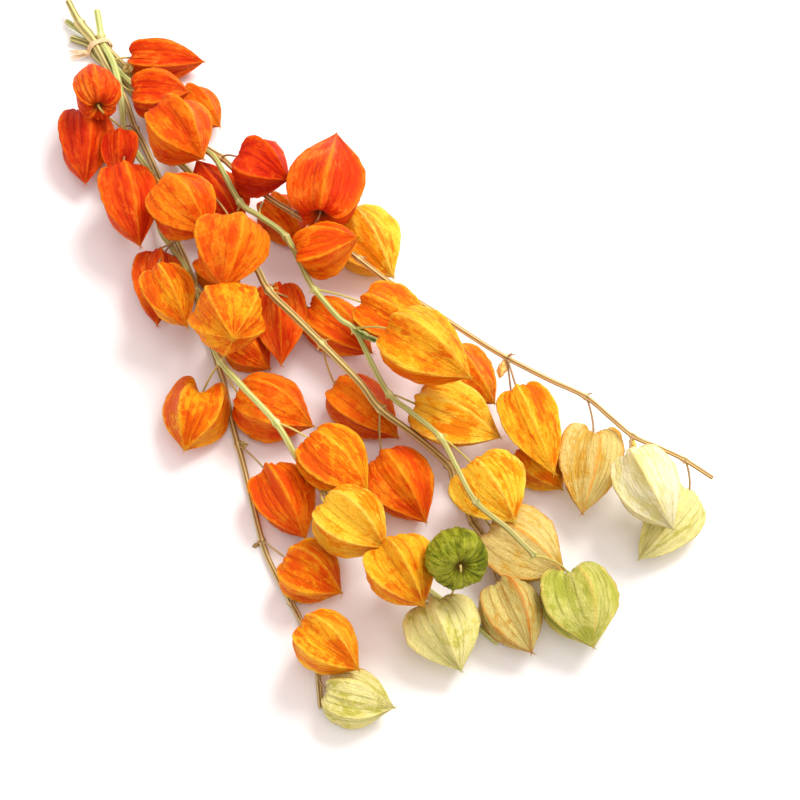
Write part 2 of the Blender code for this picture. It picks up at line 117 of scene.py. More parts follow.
TOOTH_SIDES = 5
TOOTH_STEPS = 5
TABLE_GAP = 0.0003
TOUCHING = 1e-5
FLOOR_REACH = 3.0
KEY_PLACE = (-0.15, 1.25, 1.75)
KEY_SIZE = 1.1
KEY_POWER = 41
TOP_PLACE = (0.5, 0.1, 2.2)
TOP_SIZE = 1.6
TOP_POWER = 10
ROOM_COLOUR = (1.0, 0.905, 0.90, 1.0)
ROOM_STRENGTH = 0.82

# The stems.
STEM_SIDES = 30
RIB_COUNT = 5
STEM_STEP = 0.0012
NODE_SWELL = 0.36
BUTT_SWELL = 0.60
BUTT_PLACE = 0.031
BUTT_LENGTH = 0.013
NODE_LENGTH = 0.0022
SPUR_RADIUS = 0.0008
SPUR_STEPS = 5
SPUR_TAPER = 0.55
STALK_RADIUS = 0.0007
STALK_SIDES = 8
# The vector noise that crumples the leaves differs from run to run unless it has a seed.
CRUMPLE_SEED = 1795836672
SCRAP_STEPS = 16
SCRAP_THICKNESS = 0.00024

# The stalks' curves, as the solids have them: the rise and sway of the crest and the run into the dimple.
ARCHES = (0.004, 0.010, 0.018, -0.006, 0.030)
SWAYS = (0.0, 0.010, -0.010, 0.022, -0.022)
APPROACHES = (0.010, 0.018, 0.005, 0.003)
CREST_SHARE = 0.3
STALK_GAP = 0.0005
STALK_STEPS = 6
STALK_FINE_STEPS = 28
ROOT_REACH = 0.055

# The tie, with the right half of its outline as sideways and upward sizes.
TIE_SPOT = (101, 52)
TIE_COURSE = ((94, 38), (109, 67))
TIE_PITCH = 0.0053
TIE_LOW = 0.0049
TIE_HIGH = 0.0094
TIE_REACH = 0.005
TIE = ("tie",)
TIE_MIDDLE = 0.0072
TIE_HALF = (
    (0.0, 0.0011), (0.0055, 0.0011), (0.0082, 0.0024), (0.0090, 0.0052), (0.0078, 0.0091), (0.0056, 0.0121),
    (0.0028, 0.0132), (0.0, 0.0133),
)
TIE_STEPS = 5
TIE_GRAIN = Vector((3.0, 8.0, 2.0))
TIE_STRANDS = 6
END_STRANDS = 5
KNOT_LOOPS = 3
KNOT_STEPS = 24
KNOT_SIDE = -0.0100
KNOT_HEIGHT = 0.0052

# Each loose end of the tie: how far it rises and how far it leans along the stems.
TIE_ENDS = ((0.0018, -0.004), (-0.0018, -0.0022))

# Each stem: its slot in the tie (side steps, height), its radius at the cut end and at the tip, and its
# course as (x, y) in the picture and the height of its middle in millimetres. A fourth value of True marks a
# leaf node.
STEMS = {
    "stem_a": dict(
        slot=(0.5, TIE_HIGH),
        radius=(0.0024, 0.0019),
        course=(
            (97, 10, 14), (101, 36, 11, True), TIE, (113, 62, 13), (118, 80, 15), (122, 105, 13),
            (125, 131, 11, True), (138, 155, 10), (150, 174, 10, True), (155, 200, 9), (161, 230, 9),
            (171, 246, 10), (187, 271, 12), (197, 292, 14, True), (206, 320, 20), (212, 342, 28),
            (221, 362, 36, True), (240, 384, 43), (276, 423, 43, True), (299, 461, 30), (323, 490, 18, True),
            (350, 517, 10), (380, 548, 6, True), (412, 577, 4), (447, 604, 4), (476, 625, 3), (498, 643, 3),
        ),
    ),
    "stem_b": dict(
        slot=(-0.5, TIE_HIGH),
        radius=(0.0024, 0.0016),
        course=(
            (68, 1, 12), (80, 24, 12, True), TIE, (110, 72, 9), (118, 86, 8), (126, 102, 6),
            (135, 129, 4, True), (144, 145, 3), (159, 179, 3), (169, 210, 3), (177, 240, 3, True),
            (189, 269, 4), (203, 318, 3), (219, 368, 3), (225, 387, 3), (231, 418, 3), (238, 445, 3, True),
            (245, 471, 3), (262, 541, 3, True), (275, 573, 3), (291, 602, 3, True), (301, 622, 3),
            (316, 665, 3), (321, 708, 3),
        ),
    ),
    "stem_c": dict(
        slot=(-1, TIE_LOW),
        radius=(0.0023, 0.0019),
        course=(
            (71, 38, 5), TIE, (113, 72, 3), (124, 84, 3), (137, 98, 3), (151, 115, 3), (165, 137, 5),
            (178, 160, 8, True), (194, 178, 11), (211, 208, 14), (223, 221, 17), (240, 245, 25),
            (257, 269, 36), (269, 291, 44, True), (296, 318, 46), (322, 344, 46, True), (359, 382, 42),
            (380, 409, 36, True), (417, 437, 24), (448, 465, 12, True), (454, 482, 8), (464, 502, 5),
            (473, 522, 4, True), (485, 539, 3), (510, 577, 3), (536, 612, 3),
        ),
    ),
    "stem_d": dict(
        slot=(0, TIE_LOW),
        radius=(0.0023, 0.0019),
        course=(
            (66, 21, 5), TIE, (123, 75, 11), (136, 87, 12), (150, 103, 14), (170, 121, 20),
            (190, 139, 27), (203, 149, 34, True), (217, 161, 40), (240, 202, 45, True), (259, 216, 45),
            (286, 237, 45, True), (308, 279, 45), (315, 290, 46, True), (339, 318, 47), (355, 330, 46, True),
            (372, 364, 43), (389, 394, 41, True), (411, 412, 42), (440, 437, 45, True), (456, 466, 47),
            (476, 502, 47, True), (507, 528, 46), (535, 556, 43, True),
        ),
    ),
    "stem_e": dict(
        slot=(1, TIE_LOW),
        radius=(0.0023, 0.0014),
        course=(
            (103, 38, 5), TIE, (127, 69, 3), (139, 86, 3), (154, 102, 3), (170, 118, 6), (187, 134, 13),
            (203, 146, 22), (222, 158, 28, True), (234, 169, 31), (252, 184, 34), (272, 200, 36),
            (295, 214, 37, True), (313, 226, 37), (335, 241, 37), (359, 259, 38, True), (397, 288, 42),
            (439, 315, 44), (480, 342, 42), (507, 358, 40, True), (550, 380, 38), (586, 397, 36, True),
            (610, 417, 35), (633, 436, 34, True), (660, 448, 33), (685, 460, 32, True), (713, 478, 31),
        ),
    ),
}


def lie(base, tip, wide, stem, node, turn=0, rise=0):
    """A husk's base and tip in the picture, its breadth in pixels, the stem and the leaf node it grew on, its
    turn about its own axis in degrees, and how much higher its tip is than its base in millimetres."""
    return dict(base=base, tip=tip, wide=wide, stem=stem, node=node, turn=turn, rise=rise)


# The husks that grew unlike the others, or are seen end on: shares of the usual hollows, shoulder lobes and
# pleats, how much finer the pleats are, how far the section is round, and how far the shoulders rise beside
# the stalk, as on a heart.
USUAL_TRAITS = dict(hollow=1.0, lobing=1.0, pleating=1.0, finer=1.0, round=0.0, heart=0.0)
TRAITS = {
    1: dict(hollow=0.8, lobing=0.3, pleating=1.8, finer=1.7, round=0.6),
    6: dict(hollow=1.6, pleating=1.3),
    20: dict(hollow=0.5, lobing=0.5, round=0.5),
    31: dict(heart=0.09),
    35: dict(heart=0.07),
    37: dict(hollow=0.0, lobing=0.1, pleating=0.9, finer=2.6, round=1.0),
    44: dict(hollow=0.4, lobing=0.4, pleating=1.3, round=0.4),
    49: dict(hollow=0.5, heart=0.24),
}

HUSKS = {
    49: lie((201, 397), (182, 450), 66, "stem_a", (221, 362), turn=36),
    2: lie((83, 121), (84, 184), 54, "stem_b", (110, 72)),
    3: lie((121, 136), (120, 180), 38, "stem_b", (135, 129), turn=20),
    5: lie((138, 58), (204, 61), 42, "stem_a", (113, 62)),
    7: lie((187, 97), (221, 126), 40, "stem_d", (150, 103)),
    10: lie((230, 211), (196, 161), 50, "stem_d", (240, 202), turn=15),
    13: lie((271, 206), (305, 245), 44, "stem_d", (259, 216)),
    15: lie((350, 222), (392, 278), 62, "stem_e", (295, 214), turn=10),
    17: lie((206, 262), (240, 292), 40, "stem_a", (197, 292)),
    18: lie((156, 262), (157, 325), 50, "stem_a", (171, 246)),
    21: lie((234, 336), (269, 370), 46, "stem_a", (221, 362), turn=12),
    22: lie((277, 293), (283, 365), 50, "stem_c", (269, 291), turn=18),
    23: lie((316, 313), (372, 354), 52, "stem_c", (269, 291)),
    24: lie((369, 306), (434, 341), 64, "stem_d", (315, 290), turn=8),
    26: lie((450, 358), (494, 405), 54, "stem_e", (439, 315)),
    30: lie((526, 452), (563, 489), 48, "stem_e", (507, 358)),
    28: lie((520, 396), (555, 473), 58, "stem_e", (507, 358), turn=25),
    31: lie((593, 439), (581, 513), 64, "stem_e", (586, 397), turn=10),
    33: lie((685, 501), (640, 560), 54, "stem_e", (685, 460)),
    34: lie((497, 532), (564, 576), 74, "stem_d", (476, 502), turn=14),
    35: lie((570, 578), (592, 648), 72, "stem_d", (535, 556)),
    36: lie((501, 591), (531, 654), 60, "stem_c", (485, 539)),
    38: lie((434, 610), (460, 672), 70, "stem_a", (412, 577), turn=20),
    42: lie((246, 398), (314, 425), 64, "stem_a", (221, 362)),
    43: lie((271, 478), (307, 538), 62, "stem_b", (238, 445), turn=12),
    44: lie((292, 562), (342, 593), 62, "stem_b", (262, 541)),
    46: lie((333, 692), (394, 709), 54, "stem_b", (316, 665)),
    47: lie((386, 464), (426, 522), 64, "stem_c", (380, 409), turn=10),
    48: lie((341, 391), (399, 436), 56, "stem_c", (322, 344)),
    29: lie((476, 469), (516, 522), 72, "stem_d", (440, 437), turn=16),
    41: lie((314, 443), (368, 490), 64, "stem_a", (276, 423)),
    27: lie((423, 407), (501, 437), 72, "stem_d", (389, 394), turn=10),
    45: lie((307, 629), (359, 670), 62, "stem_b", (291, 602)),
    40: lie((330, 508), (385, 550), 72, "stem_a", (323, 490)),
    39: lie((388, 552), (426, 605), 74, "stem_a", (380, 548), turn=10),
    37: lie((460, 565), (446, 538), 56, "stem_a", (447, 604), rise=-24),
    32: lie((634, 461), (672, 530), 62, "stem_e", (633, 436), turn=24),
    25: lie((397, 333), (470, 378), 76, "stem_d", (355, 330), turn=12),
    6: lie((139, 92), (190, 91), 52, "stem_a", (118, 80)),
    4: lie((123, 176), (140, 246), 56, "stem_b", (135, 129), turn=8),
    1: lie((98, 104), (90, 66), 46, "stem_a", (125, 131), turn=30, rise=-14),
    8: lie((166, 116), (204, 159), 66, "stem_c", (178, 160)),
    9: lie((168, 191), (209, 235), 64, "stem_a", (150, 174), turn=10),
    16: lie((232, 228), (224, 289), 76, "stem_c", (194, 178)),
    19: lie((159, 276), (187, 327), 48, "stem_b", (177, 240), turn=15),
    20: lie((227, 310), (234, 338), 70, "stem_a", (197, 292), turn=36, rise=24),
    12: lie((321, 210), (338, 135), 74, "stem_e", (313, 226), turn=20),
    11: lie((245, 160), (288, 180), 64, "stem_e", (222, 158)),
    14: lie((306, 251), (358, 236), 56, "stem_d", (286, 237), rise=14),
}


def rgb(red, green, blue):
    """A display colour, 0 to 255, as the shader's linear one."""
    shares = [value / 255 for value in (red, green, blue)]
    linear = [value / 12.92 if value <= 0.04045 else ((value + 0.055) / 1.055) ** 2.4 for value in shares]
    return (*linear, 1.0)


def husk_colours(deep, body, pale, spread, rim, vein_and_fold_shade, numbers):
    """The colours of the shaded folds, of the paper, of its pale patches, toward the ribs and the tip, and of
    the veins, which is also the painted shade in the deepest folds. spread is the pale share of the surface.
    numbers are the husks'."""
    shades = dict(deep=rgb(*deep), body=rgb(*body), pale=rgb(*pale), rim=rgb(*rim), vein_and_fold_shade=rgb(*vein_and_fold_shade))
    return dict(**shades, spread=spread, numbers=numbers)


# The husks' looks, from red to green.
LOOKS = (
    husk_colours(
        (200, 34, 0), (226, 62, 0), (240, 100, 14), 0.30, (244, 108, 10), (146, 12, 0),
        (2, 3, 10, 11),
    ),
    husk_colours(
        (218, 54, 0), (238, 86, 0), (246, 130, 34), 0.32, (248, 136, 18), (170, 24, 0),
        (1, 4, 5, 6, 12, 18, 22),
    ),
    husk_colours(
        (228, 76, 0), (244, 106, 0), (250, 148, 22), 0.36, (251, 158, 28), (184, 38, 0),
        (7, 8, 9, 13, 14, 16, 17, 21, 23, 42, 43, 47, 48),
    ),
    husk_colours(
        (230, 88, 0), (245, 124, 0), (252, 178, 26), 0.36, (253, 188, 46), (186, 50, 0),
        (19, 20, 24, 26, 41, 44, 49),
    ),
    husk_colours(
        (232, 108, 0), (247, 146, 0), (253, 192, 40), 0.40, (254, 202, 62), (184, 74, 0),
        (25, 28, 30, 39, 45),
    ),
    husk_colours(
        (234, 128, 0), (247, 166, 4), (253, 206, 62), 0.46, (254, 216, 88), (180, 96, 4),
        (15, 27, 29, 40),
    ),
    husk_colours(
        (214, 164, 58), (214, 184, 90), (228, 208, 132), 0.50, (234, 148, 30), (176, 126, 40),
        (31, 34),
    ),
    husk_colours(
        (204, 148, 58), (202, 178, 90), (216, 202, 124), 0.50, (206, 118, 28), (158, 96, 30),
        (36,),
    ),
    husk_colours(
        (198, 190, 82), (224, 214, 114), (242, 233, 162), 0.52, (238, 226, 146), (146, 144, 50),
        (33, 38, 46),
    ),
    husk_colours(
        (168, 170, 62), (188, 188, 82), (216, 210, 122), 0.36, (216, 190, 96), (122, 122, 34),
        (35,),
    ),
    husk_colours(
        (222, 212, 136), (236, 228, 172), (244, 238, 200), 0.50, (228, 210, 128), (198, 186, 110),
        (32,),
    ),
    husk_colours((102, 110, 12), (146, 152, 26), (184, 182, 62), 0.30, (158, 160, 56), (38, 48, 2), (37,)),
)
SLOTS = {
    "husk_cream": (31, 32, 34, 36, 46),
    "husk_green": (33, 35, 37, 38),
    "husk_orange": (7, 14, 15, 16, 19, 20, 24, 25, 26, 27, 28, 29, 30, 39, 40, 41, 44, 45, 49),
}

def stem_colours(start, end, turns, streak, light, stalk):
    """The colours at the cut end and at the tip, the shares of the length between which one turns into the
    other, the colour of the streaks and of the grooves, partly painted shade in the grooves, the pale colour
    of the fibres, the node rings and the rib crests, partly a painted highlight on the crests, and the colour
    of the fruit stalks."""
    shades = dict(start=rgb(*start), end=rgb(*end), streak=rgb(*streak), light=rgb(*light), stalk=rgb(*stalk))
    return dict(**shades, turns=turns)


# The stems' looks. groove is the depth of the lengthwise grooves as a share of the radius, and girth is the
# thickness of the drawn stem as a share of the solid's.
STEM_LOOKS = {
    "stem_a": dict(
        colours=stem_colours(
            (204, 212, 116), (196, 186, 92), (0.3, 1.0), (142, 154, 58), (240, 240, 176), (214, 190, 100),
        ),
        groove=0.08,
        girth=1.04,
        slot="stem_green",
    ),
    "stem_b": dict(
        colours=stem_colours(
            (204, 200, 112), (196, 156, 84), (0.05, 0.3), (98, 66, 24), (248, 226, 152), (184, 156, 104),
        ),
        groove=0.16,
        girth=1.10,
        slot="stem_brown",
    ),
    "stem_c": dict(
        colours=stem_colours(
            (158, 164, 84), (192, 154, 74), (0.1, 0.6), (92, 74, 26), (240, 218, 138), (196, 168, 96),
        ),
        groove=0.18,
        girth=1.18,
        slot="stem_brown",
    ),
    "stem_d": dict(
        colours=stem_colours(
            (178, 184, 96), (176, 154, 78), (0.72, 0.95), (132, 140, 54), (236, 236, 160), (206, 190, 98),
        ),
        groove=0.08,
        girth=0.94,
        slot="stem_green",
    ),
    "stem_e": dict(
        colours=stem_colours(
            (188, 178, 94), (204, 152, 80), (0.05, 0.3), (98, 56, 18), (253, 226, 150), (184, 146, 98),
        ),
        groove=0.16,
        girth=1.08,
        slot="stem_brown",
    ),
}


# Shrivelled leaves: the stem and leaf node that they hang on, their length, the side that they hang to in
# degrees round the stem from its top, how far they trail along it, and their two colours.
SCRAPS = {
    "scrap_1": dict(
        stem="stem_e", at=(507, 358), size=0.0115, turn=105, trail=0.15,
        light=rgb(254, 222, 140), dark=rgb(240, 180, 80),
    ),
    "scrap_2": dict(
        stem="stem_d", at=(355, 330), size=0.0130, turn=-35, trail=1.7,
        light=rgb(206, 216, 140), dark=rgb(134, 152, 66),
    ),
    "scrap_3": dict(
        stem="stem_b", at=(238, 445), size=0.0080, turn=-50, trail=0.6,
        light=rgb(224, 206, 132), dark=rgb(170, 140, 68),
    ),
    "scrap_4": dict(
        stem="stem_d", at=(123, 75), size=0.0110, turn=-75, trail=0.1,
        light=rgb(232, 212, 130), dark=rgb(176, 146, 66),
    ),
    "scrap_5": dict(
        stem="stem_b", at=(262, 541), size=0.0060, turn=110, trail=0.2,
        light=rgb(206, 176, 104), dark=rgb(140, 104, 50),
    ),
    "scrap_6": dict(
        stem="stem_e", at=(633, 436), size=0.0075, turn=60, trail=0.7,
        light=rgb(236, 218, 104), dark=rgb(186, 146, 56),
    ),
}


def sight():
    """The direction in which the picture looks."""
    level = math.cos(VIEW_ELEVATION)
    x = -math.sin(VIEW_AZIMUTH) * level
    y = math.cos(VIEW_AZIMUTH) * level
    return Vector((x, y, -math.sin(VIEW_ELEVATION)))


def spot(pixel, height):
    """The point at this height that the picture shows at this pixel, before the bunch is centred."""
    look = sight()
    right = Vector((math.cos(VIEW_AZIMUTH), math.sin(VIEW_AZIMUTH), 0))
    eye = -look * VIEW_DISTANCE
    across = (pixel[0] - PICTURE_MIDDLE) * PIXEL / VIEW_DISTANCE
    down = (pixel[1] - PICTURE_MIDDLE) * PIXEL / VIEW_DISTANCE
    ray = look + right * across - right.cross(look) * down
    return eye + ray * ((height - eye.z) / ray.z)


def bell(value, width):
    return math.exp(-((value / width) ** 2))


def heading_at(angle, height=0.0):
    """The point at this angle on the unit circle, at this height."""
    return Vector((math.cos(angle), math.sin(angle), height))


def spline(points, value):
    """The smooth curve through the points, at a value that counts them from 0."""
    last = len(points) - 1
    index = min(int(value), last - 1)
    t = value - index
    here = points[index]
    after = points[index + 1]
    before = points[index - 1] if index > 0 else here * 2 - after
    beyond = points[index + 2] if index + 2 <= last else after * 2 - here
    turn = (after - before) * t + (before * 2 - here * 5 + after * 4 - beyond) * t**2
    turn += (here * 3 - before - after * 3 + beyond) * t**3
    return here + turn * 0.5


# The husks' shape.


def husk_form(number):
    """The random draws that give one husk its own form."""
    chance = random.Random(number)
    ridges = [1 + chance.uniform(-RIDGE_SPREAD, RIDGE_SPREAD) for _ in range(RIDGES)]
    valleys = [VALLEY + chance.uniform(-RIDGE_SPREAD, RIDGE_SPREAD) for _ in range(RIDGES)]
    return dict(
        **{**USUAL_TRAITS, **TRAITS.get(number, {})},
        turn=math.radians(HUSKS[number]["turn"]),
        ridges=ridges,
        valleys=valleys,
        leans=[chance.uniform(-0.13, 0.13) for _ in range(RIDGES)],
        dents=[chance.choice((-0.14, -0.09, -0.05, -0.02, 0.02)) for _ in range(RIDGES)],
        dent_at=[chance.uniform(3.0, 6.2) for _ in range(RIDGES)],
        creases=[[chance.uniform(-1, 1) for _ in VEINS] for _ in range(RIDGES)],
        lobes=[chance.uniform(0.0, 0.045) for _ in range(RIDGES)],
        neck=chance.uniform(0.0, 0.10),
        fullness=chance.uniform(-0.02, 0.13),
        tones=[chance.uniform(-1, 1) for _ in range(RIDGES)],
        bend=Vector((chance.uniform(-1, 1), chance.uniform(-1, 1), 0)) * 0.035,
        seed=Vector((chance.uniform(0, 50), chance.uniform(0, 50), chance.uniform(0, 50))),
    )


def panel_of(form, ring, angle):
    """The panel that an angle is in, the share of the way across it, and the ridge and valley reach there."""
    turn = angle / math.tau * RIDGES
    panel = int(turn) % RIDGES
    across = turn - int(turn)
    ridge = form["ridges"][panel if across < 0.5 else (panel + 1) % RIDGES]
    pinch = max(0.0, 2 * ring / (len(OUTLINE) - 1) - 1)
    valley = form["valleys"][panel] * (1 - pinch) + TIP_VALLEY * pinch
    return panel, across, ridge, valley


OUTLINE_POINTS = [Vector(point) for point in OUTLINE]
PAPER_POINTS = [Vector(point) for point in PAPER_OUTLINE]


def plain_point(form, ring, angle):
    """A point of the plain form, one metre long and wide, with its dimple at the origin and its tip on +Z."""
    along, out = spline(OUTLINE_POINTS, ring)
    _, across, ridge, valley = panel_of(form, ring, angle)
    from_ridge = 2 * min(across, 1 - across)
    reach = valley + (ridge - valley) * (1 - from_ridge) ** RIDGE_SHARPNESS
    return Vector((out / 2 * reach * math.cos(angle), out / 2 * reach * math.sin(angle), along))


def vein_at(form, panel, across, ring, width):
    """How near a point is to one of the panel's lengthwise veins, from 0 to 1."""
    place = across - wander(form, panel, across, ring)
    return max(bell(place - vein, width) for vein in VEINS)


def wander(form, panel, across, ring):
    """How far the panel's veins stray sideways there, less toward the ridges."""
    return 0.045 * math.sin(ring * 0.8 + form["seed"].x + panel) * math.sin(math.pi * across)


def strip_height(form, panel, across, ring):
    """The height, from -1 to 1, of the flat strips that lie between a panel's creased veins."""
    place = across - wander(form, panel, across, ring)
    stops = (0.0, *VEINS, 1.0)
    heights = [0.0]
    for index, height in enumerate(form["creases"][panel]):
        rough = noise.noise(form["seed"] + Vector((ring * 0.3, panel, index * 7)))
        heights.append(height * (0.7 + 1.2 * rough))
    heights.append(0.0)
    for index in range(len(stops) - 1):
        if place <= stops[index + 1]:
            break
    share = min(1.0, max(0.0, (place - stops[index]) / (stops[index + 1] - stops[index])))
    return heights[index] + (heights[index + 1] - heights[index]) * share


def pleat_at(form, ring, heading):
    """The height of the pleats that run out from the stalk and in to the tip."""
    broad = noise.noise(heading * 4.2 * form["finer"] + Vector((0, 0, ring * 0.16)) + form["seed"])
    narrow = noise.noise(heading * 8.5 * form["finer"] + Vector((0, 0, ring * 0.22)) + form["seed"])
    return broad + 0.8 * narrow


def fine_point(form, ring, angle):
    """A point of the papery husk: ribs, folds, wrinkles, dents and a lobed shoulder."""
    along, out = spline(PAPER_POINTS, ring)
    panel, across, ridge, valley = panel_of(form, ring, angle)
    from_ridge = 2 * min(across, 1 - across)
    valley -= PANEL_FLATNESS * bell(ring - 4.5, 3.2)
    valley += (ridge - valley) * form["round"]
    reach = valley + (ridge - valley) * (1 - from_ridge) ** RIDGE_SHARPNESS
    out *= reach * (1 - form["neck"] * bell(ring - 8.6, 0.9)) * (1 + form["fullness"] * bell(ring - 6.6, 1.8))
    lean = form["leans"][panel] * (1 - across) + form["leans"][(panel + 1) % RIDGES] * across
    turned = angle + lean
    point = Vector((out / 2 * math.cos(turned), out / 2 * math.sin(turned), along))
    level = Vector((point.x, point.y, 0))
    change = RIB_HEIGHT * bell(from_ridge, 0.08)
    change += CREASE_HEIGHT * strip_height(form, panel, across, ring) * bell(ring - 4.4, 3.4)
    hollow = math.sin(math.pi * across) ** 1.3 * bell(ring - form["dent_at"][panel], 2.0)
    change += form["dents"][panel] * hollow * form["hollow"]
    change += VEIN_HEIGHT * vein_at(form, panel, across, ring, 0.035) * bell(ring - 4.5, 4.0)
    heading = heading_at(angle)
    ends = 0.35 + bell(ring - 1.8, 1.6) + 0.8 * bell(ring - 9.0, 1.6)
    change += PLEAT_HEIGHT * pleat_at(form, ring, heading) * ends * form["pleating"]
    place = Vector((point.x, point.y, point.z * 1.1)) * 4.0 + form["seed"]
    crumple = 1 - 2.4 * abs(noise.noise(place))
    small_crumple = 1 - 2.4 * abs(noise.noise(place * 2.3))
    change += CRUMPLE_HEIGHT * crumple + SMALL_CRUMPLE_HEIGHT * small_crumple
    change += SWELL_HEIGHT * noise.noise(place * 0.5)
    change += GRAIN_HEIGHT * noise.noise(place * 6.0)
    level *= 1 + change
    lobe = form["lobes"][panel if across < 0.5 else (panel + 1) % RIDGES]
    lift = lobe * (1 - from_ridge) ** 1.2 * bell(ring - 2.3, 1.4) * form["lobing"]
    lift -= LOBE_SAG * from_ridge**2 * bell(ring - 2.2, 1.3) * form["lobing"]
    lift += RAGGED_HEIGHT * noise.noise(heading * 5.0 + form["seed"]) * bell(ring - 2.2, 1.2)
    lift += form["heart"] * (1.5 * abs(math.cos(angle + form["turn"])) ** 1.5 - 0.55) * bell(ring - 2.6, 1.7)
    curl = form["bend"] * max(0.0, point.z) ** 4
    return Vector((level.x, level.y, point.z - lift)) + curl


def fold_depth(form, ring, angle):
    """How deep in a pleat or crease a point lies, from 0 to 1: the share of painted shade that the colour
    gets there.
    """
    panel, across, _, _ = panel_of(form, ring, angle)
    heading = heading_at(angle)
    ends = bell(ring - 1.6, 1.7) + bell(ring - 9.0, 1.6)
    pleat = max(0.0, -pleat_at(form, ring, heading)) * ends * form["pleating"]
    return min(1.0, 1.6 * pleat + 0.5 * max(0.0, -strip_height(form, panel, across, ring)))


def husk_frame(plan, plain, lowest, squash):
    """The transform that lays the husk with its lowest point at this height, and the lowest raw height."""
    base_height = lowest + plan["wide"] * PIXEL / 2
    for _ in range(4):
        base = spot(plan["base"], base_height)
        axis = spot(plan["tip"], base_height + plan["rise"] / 1000) - base
        width = plan["wide"] * PIXEL * (1 + base.dot(sight()) / VIEW_DISTANCE)
        laid = Matrix.Translation(base) @ axis.to_track_quat("Z", "Y").to_matrix().to_4x4()
        laid = laid @ Matrix.Rotation(math.radians(plan["turn"]), 4, "Z")
        laid = laid @ Matrix.Diagonal((width, width, axis.length, 1))
        heights = [(laid @ point).z for point in plain]
        bottom = min(heights)
        base_height = lowest + (base_height - bottom) * squash
    return laid, bottom, max(heights)


def lay_husk(number):
    """A function that takes a point of the unit husk to its raw place, found from the node's own box."""
    plan = HUSKS[number]
    form = husk_form(number)
    low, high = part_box(f"lantern_{number:02d}")
    lowest = low.z if low.z > TOUCHING else -FLAT_DEPTH
    plain = [
        plain_point(form, ring, math.tau * column / (2 * RIDGES))
        for ring in range(len(OUTLINE))
        for column in range(2 * RIDGES)
    ]
    best = None
    for step in range(SQUASH_STEPS):
        squash = 1 - SQUASH_STEP * step
        laid, bottom, top = husk_frame(plan, plain, lowest, squash)
        miss = abs(lowest + (top - bottom) * squash - high.z)
        if best is None or miss < best[0]:
            best = (miss, laid, bottom, squash)
    _, laid, bottom, squash = best

    def place(point):
        raw = laid @ point
        raw.z = lowest + (raw.z - bottom) * squash
        return raw

    return place, plain


def find_shift():
    """How far the CAD moved the bunch to stand its box on the origin, read from one husk."""
    number = next(iter(HUSKS))
    place, plain = lay_husk(number)
    low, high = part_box(f"lantern_{number:02d}")
    points = [place(point) for point in plain]
    middle_x = (min(point.x for point in points) + max(point.x for point in points)) / 2
    middle_y = (min(point.y for point in points) + max(point.y for point in points)) / 2
    return Vector((middle_x - (low.x + high.x) / 2, middle_y - (low.y + high.y) / 2, 0))


SHIFT = find_shift()


# Mesh building.


class Skin:
    """Points, faces and the values at each point that the materials read."""

    def __init__(self):
        self.points = []
        self.faces = []
        self.values = {}

    def add(self, point, **values):
        self.points.append(tuple(point))
        for name, value in values.items():
            self.values.setdefault(name, {})[len(self.points) - 1] = value
        return len(self.points) - 1

    def bridge(self, lower, upper):
        """Faces between two rings of the same number of points."""
        count = len(lower)
        for index in range(count):
            after = (index + 1) % count
            self.faces.append((lower[index], lower[after], upper[after], upper[index]))

    def fan(self, ring, tip, flip=False):
        count = len(ring)
        for index in range(count):
            after = (index + 1) % count
            self.faces.append((ring[after], ring[index], tip) if flip else (ring[index], ring[after], tip))

    def build(self, name, material):
        mesh = bpy.data.meshes.new(name)
        mesh.from_pydata(self.points, [], self.faces)
        numbers = range(len(self.points))
        for title, values in self.values.items():
            vector = isinstance(next(iter(values.values())), Vector)
            layer = mesh.attributes.new(title, "FLOAT_VECTOR" if vector else "FLOAT", "POINT")
            blank = (0.0, 0.0, 0.0) if vector else 0.0
            rows = [values.get(number, blank) for number in numbers]
            layer.data.foreach_set("vector" if vector else "value", np.array(rows, np.float32).ravel())
        mesh.materials.append(material)
        mesh.shade_smooth()
        made = bpy.data.objects.new(name, mesh)
        bpy.context.scene.collection.objects.link(made)
        return made


def sweep(skin, course, sides, reach, **values):
    """Adds a closed tube along the course. reach(index, angle) is the distance from its middle. A value is a
    number or a vector, or a function of the same two."""

    def given(index, angle):
        return {name: value(index, angle) if callable(value) else value for name, value in values.items()}

    rings = []
    ahead = (course[1] - course[0]).normalized()
    side = ahead.orthogonal().normalized()
    for index, place in enumerate(course):
        before = course[max(index - 1, 0)]
        after = course[min(index + 1, len(course) - 1)]
        ahead = (after - before).normalized()
        side = (side - ahead * side.dot(ahead)).normalized()
        up = ahead.cross(side)
        ring = []
        for step in range(sides):
            angle = math.tau * step / sides
            heading = side * math.cos(angle) + up * math.sin(angle)
            ring.append(skin.add(place + heading * reach(index, angle), **given(index, angle)))
        if rings:
            skin.bridge(rings[-1], ring)
        rings.append(ring)
    first = skin.add(course[0], **given(0, 0.0))
    last = skin.add(course[-1], **given(len(course) - 1, 0.0))
    skin.fan(rings[0], first, flip=True)
    skin.fan(rings[-1], last)
    return rings


# Materials.


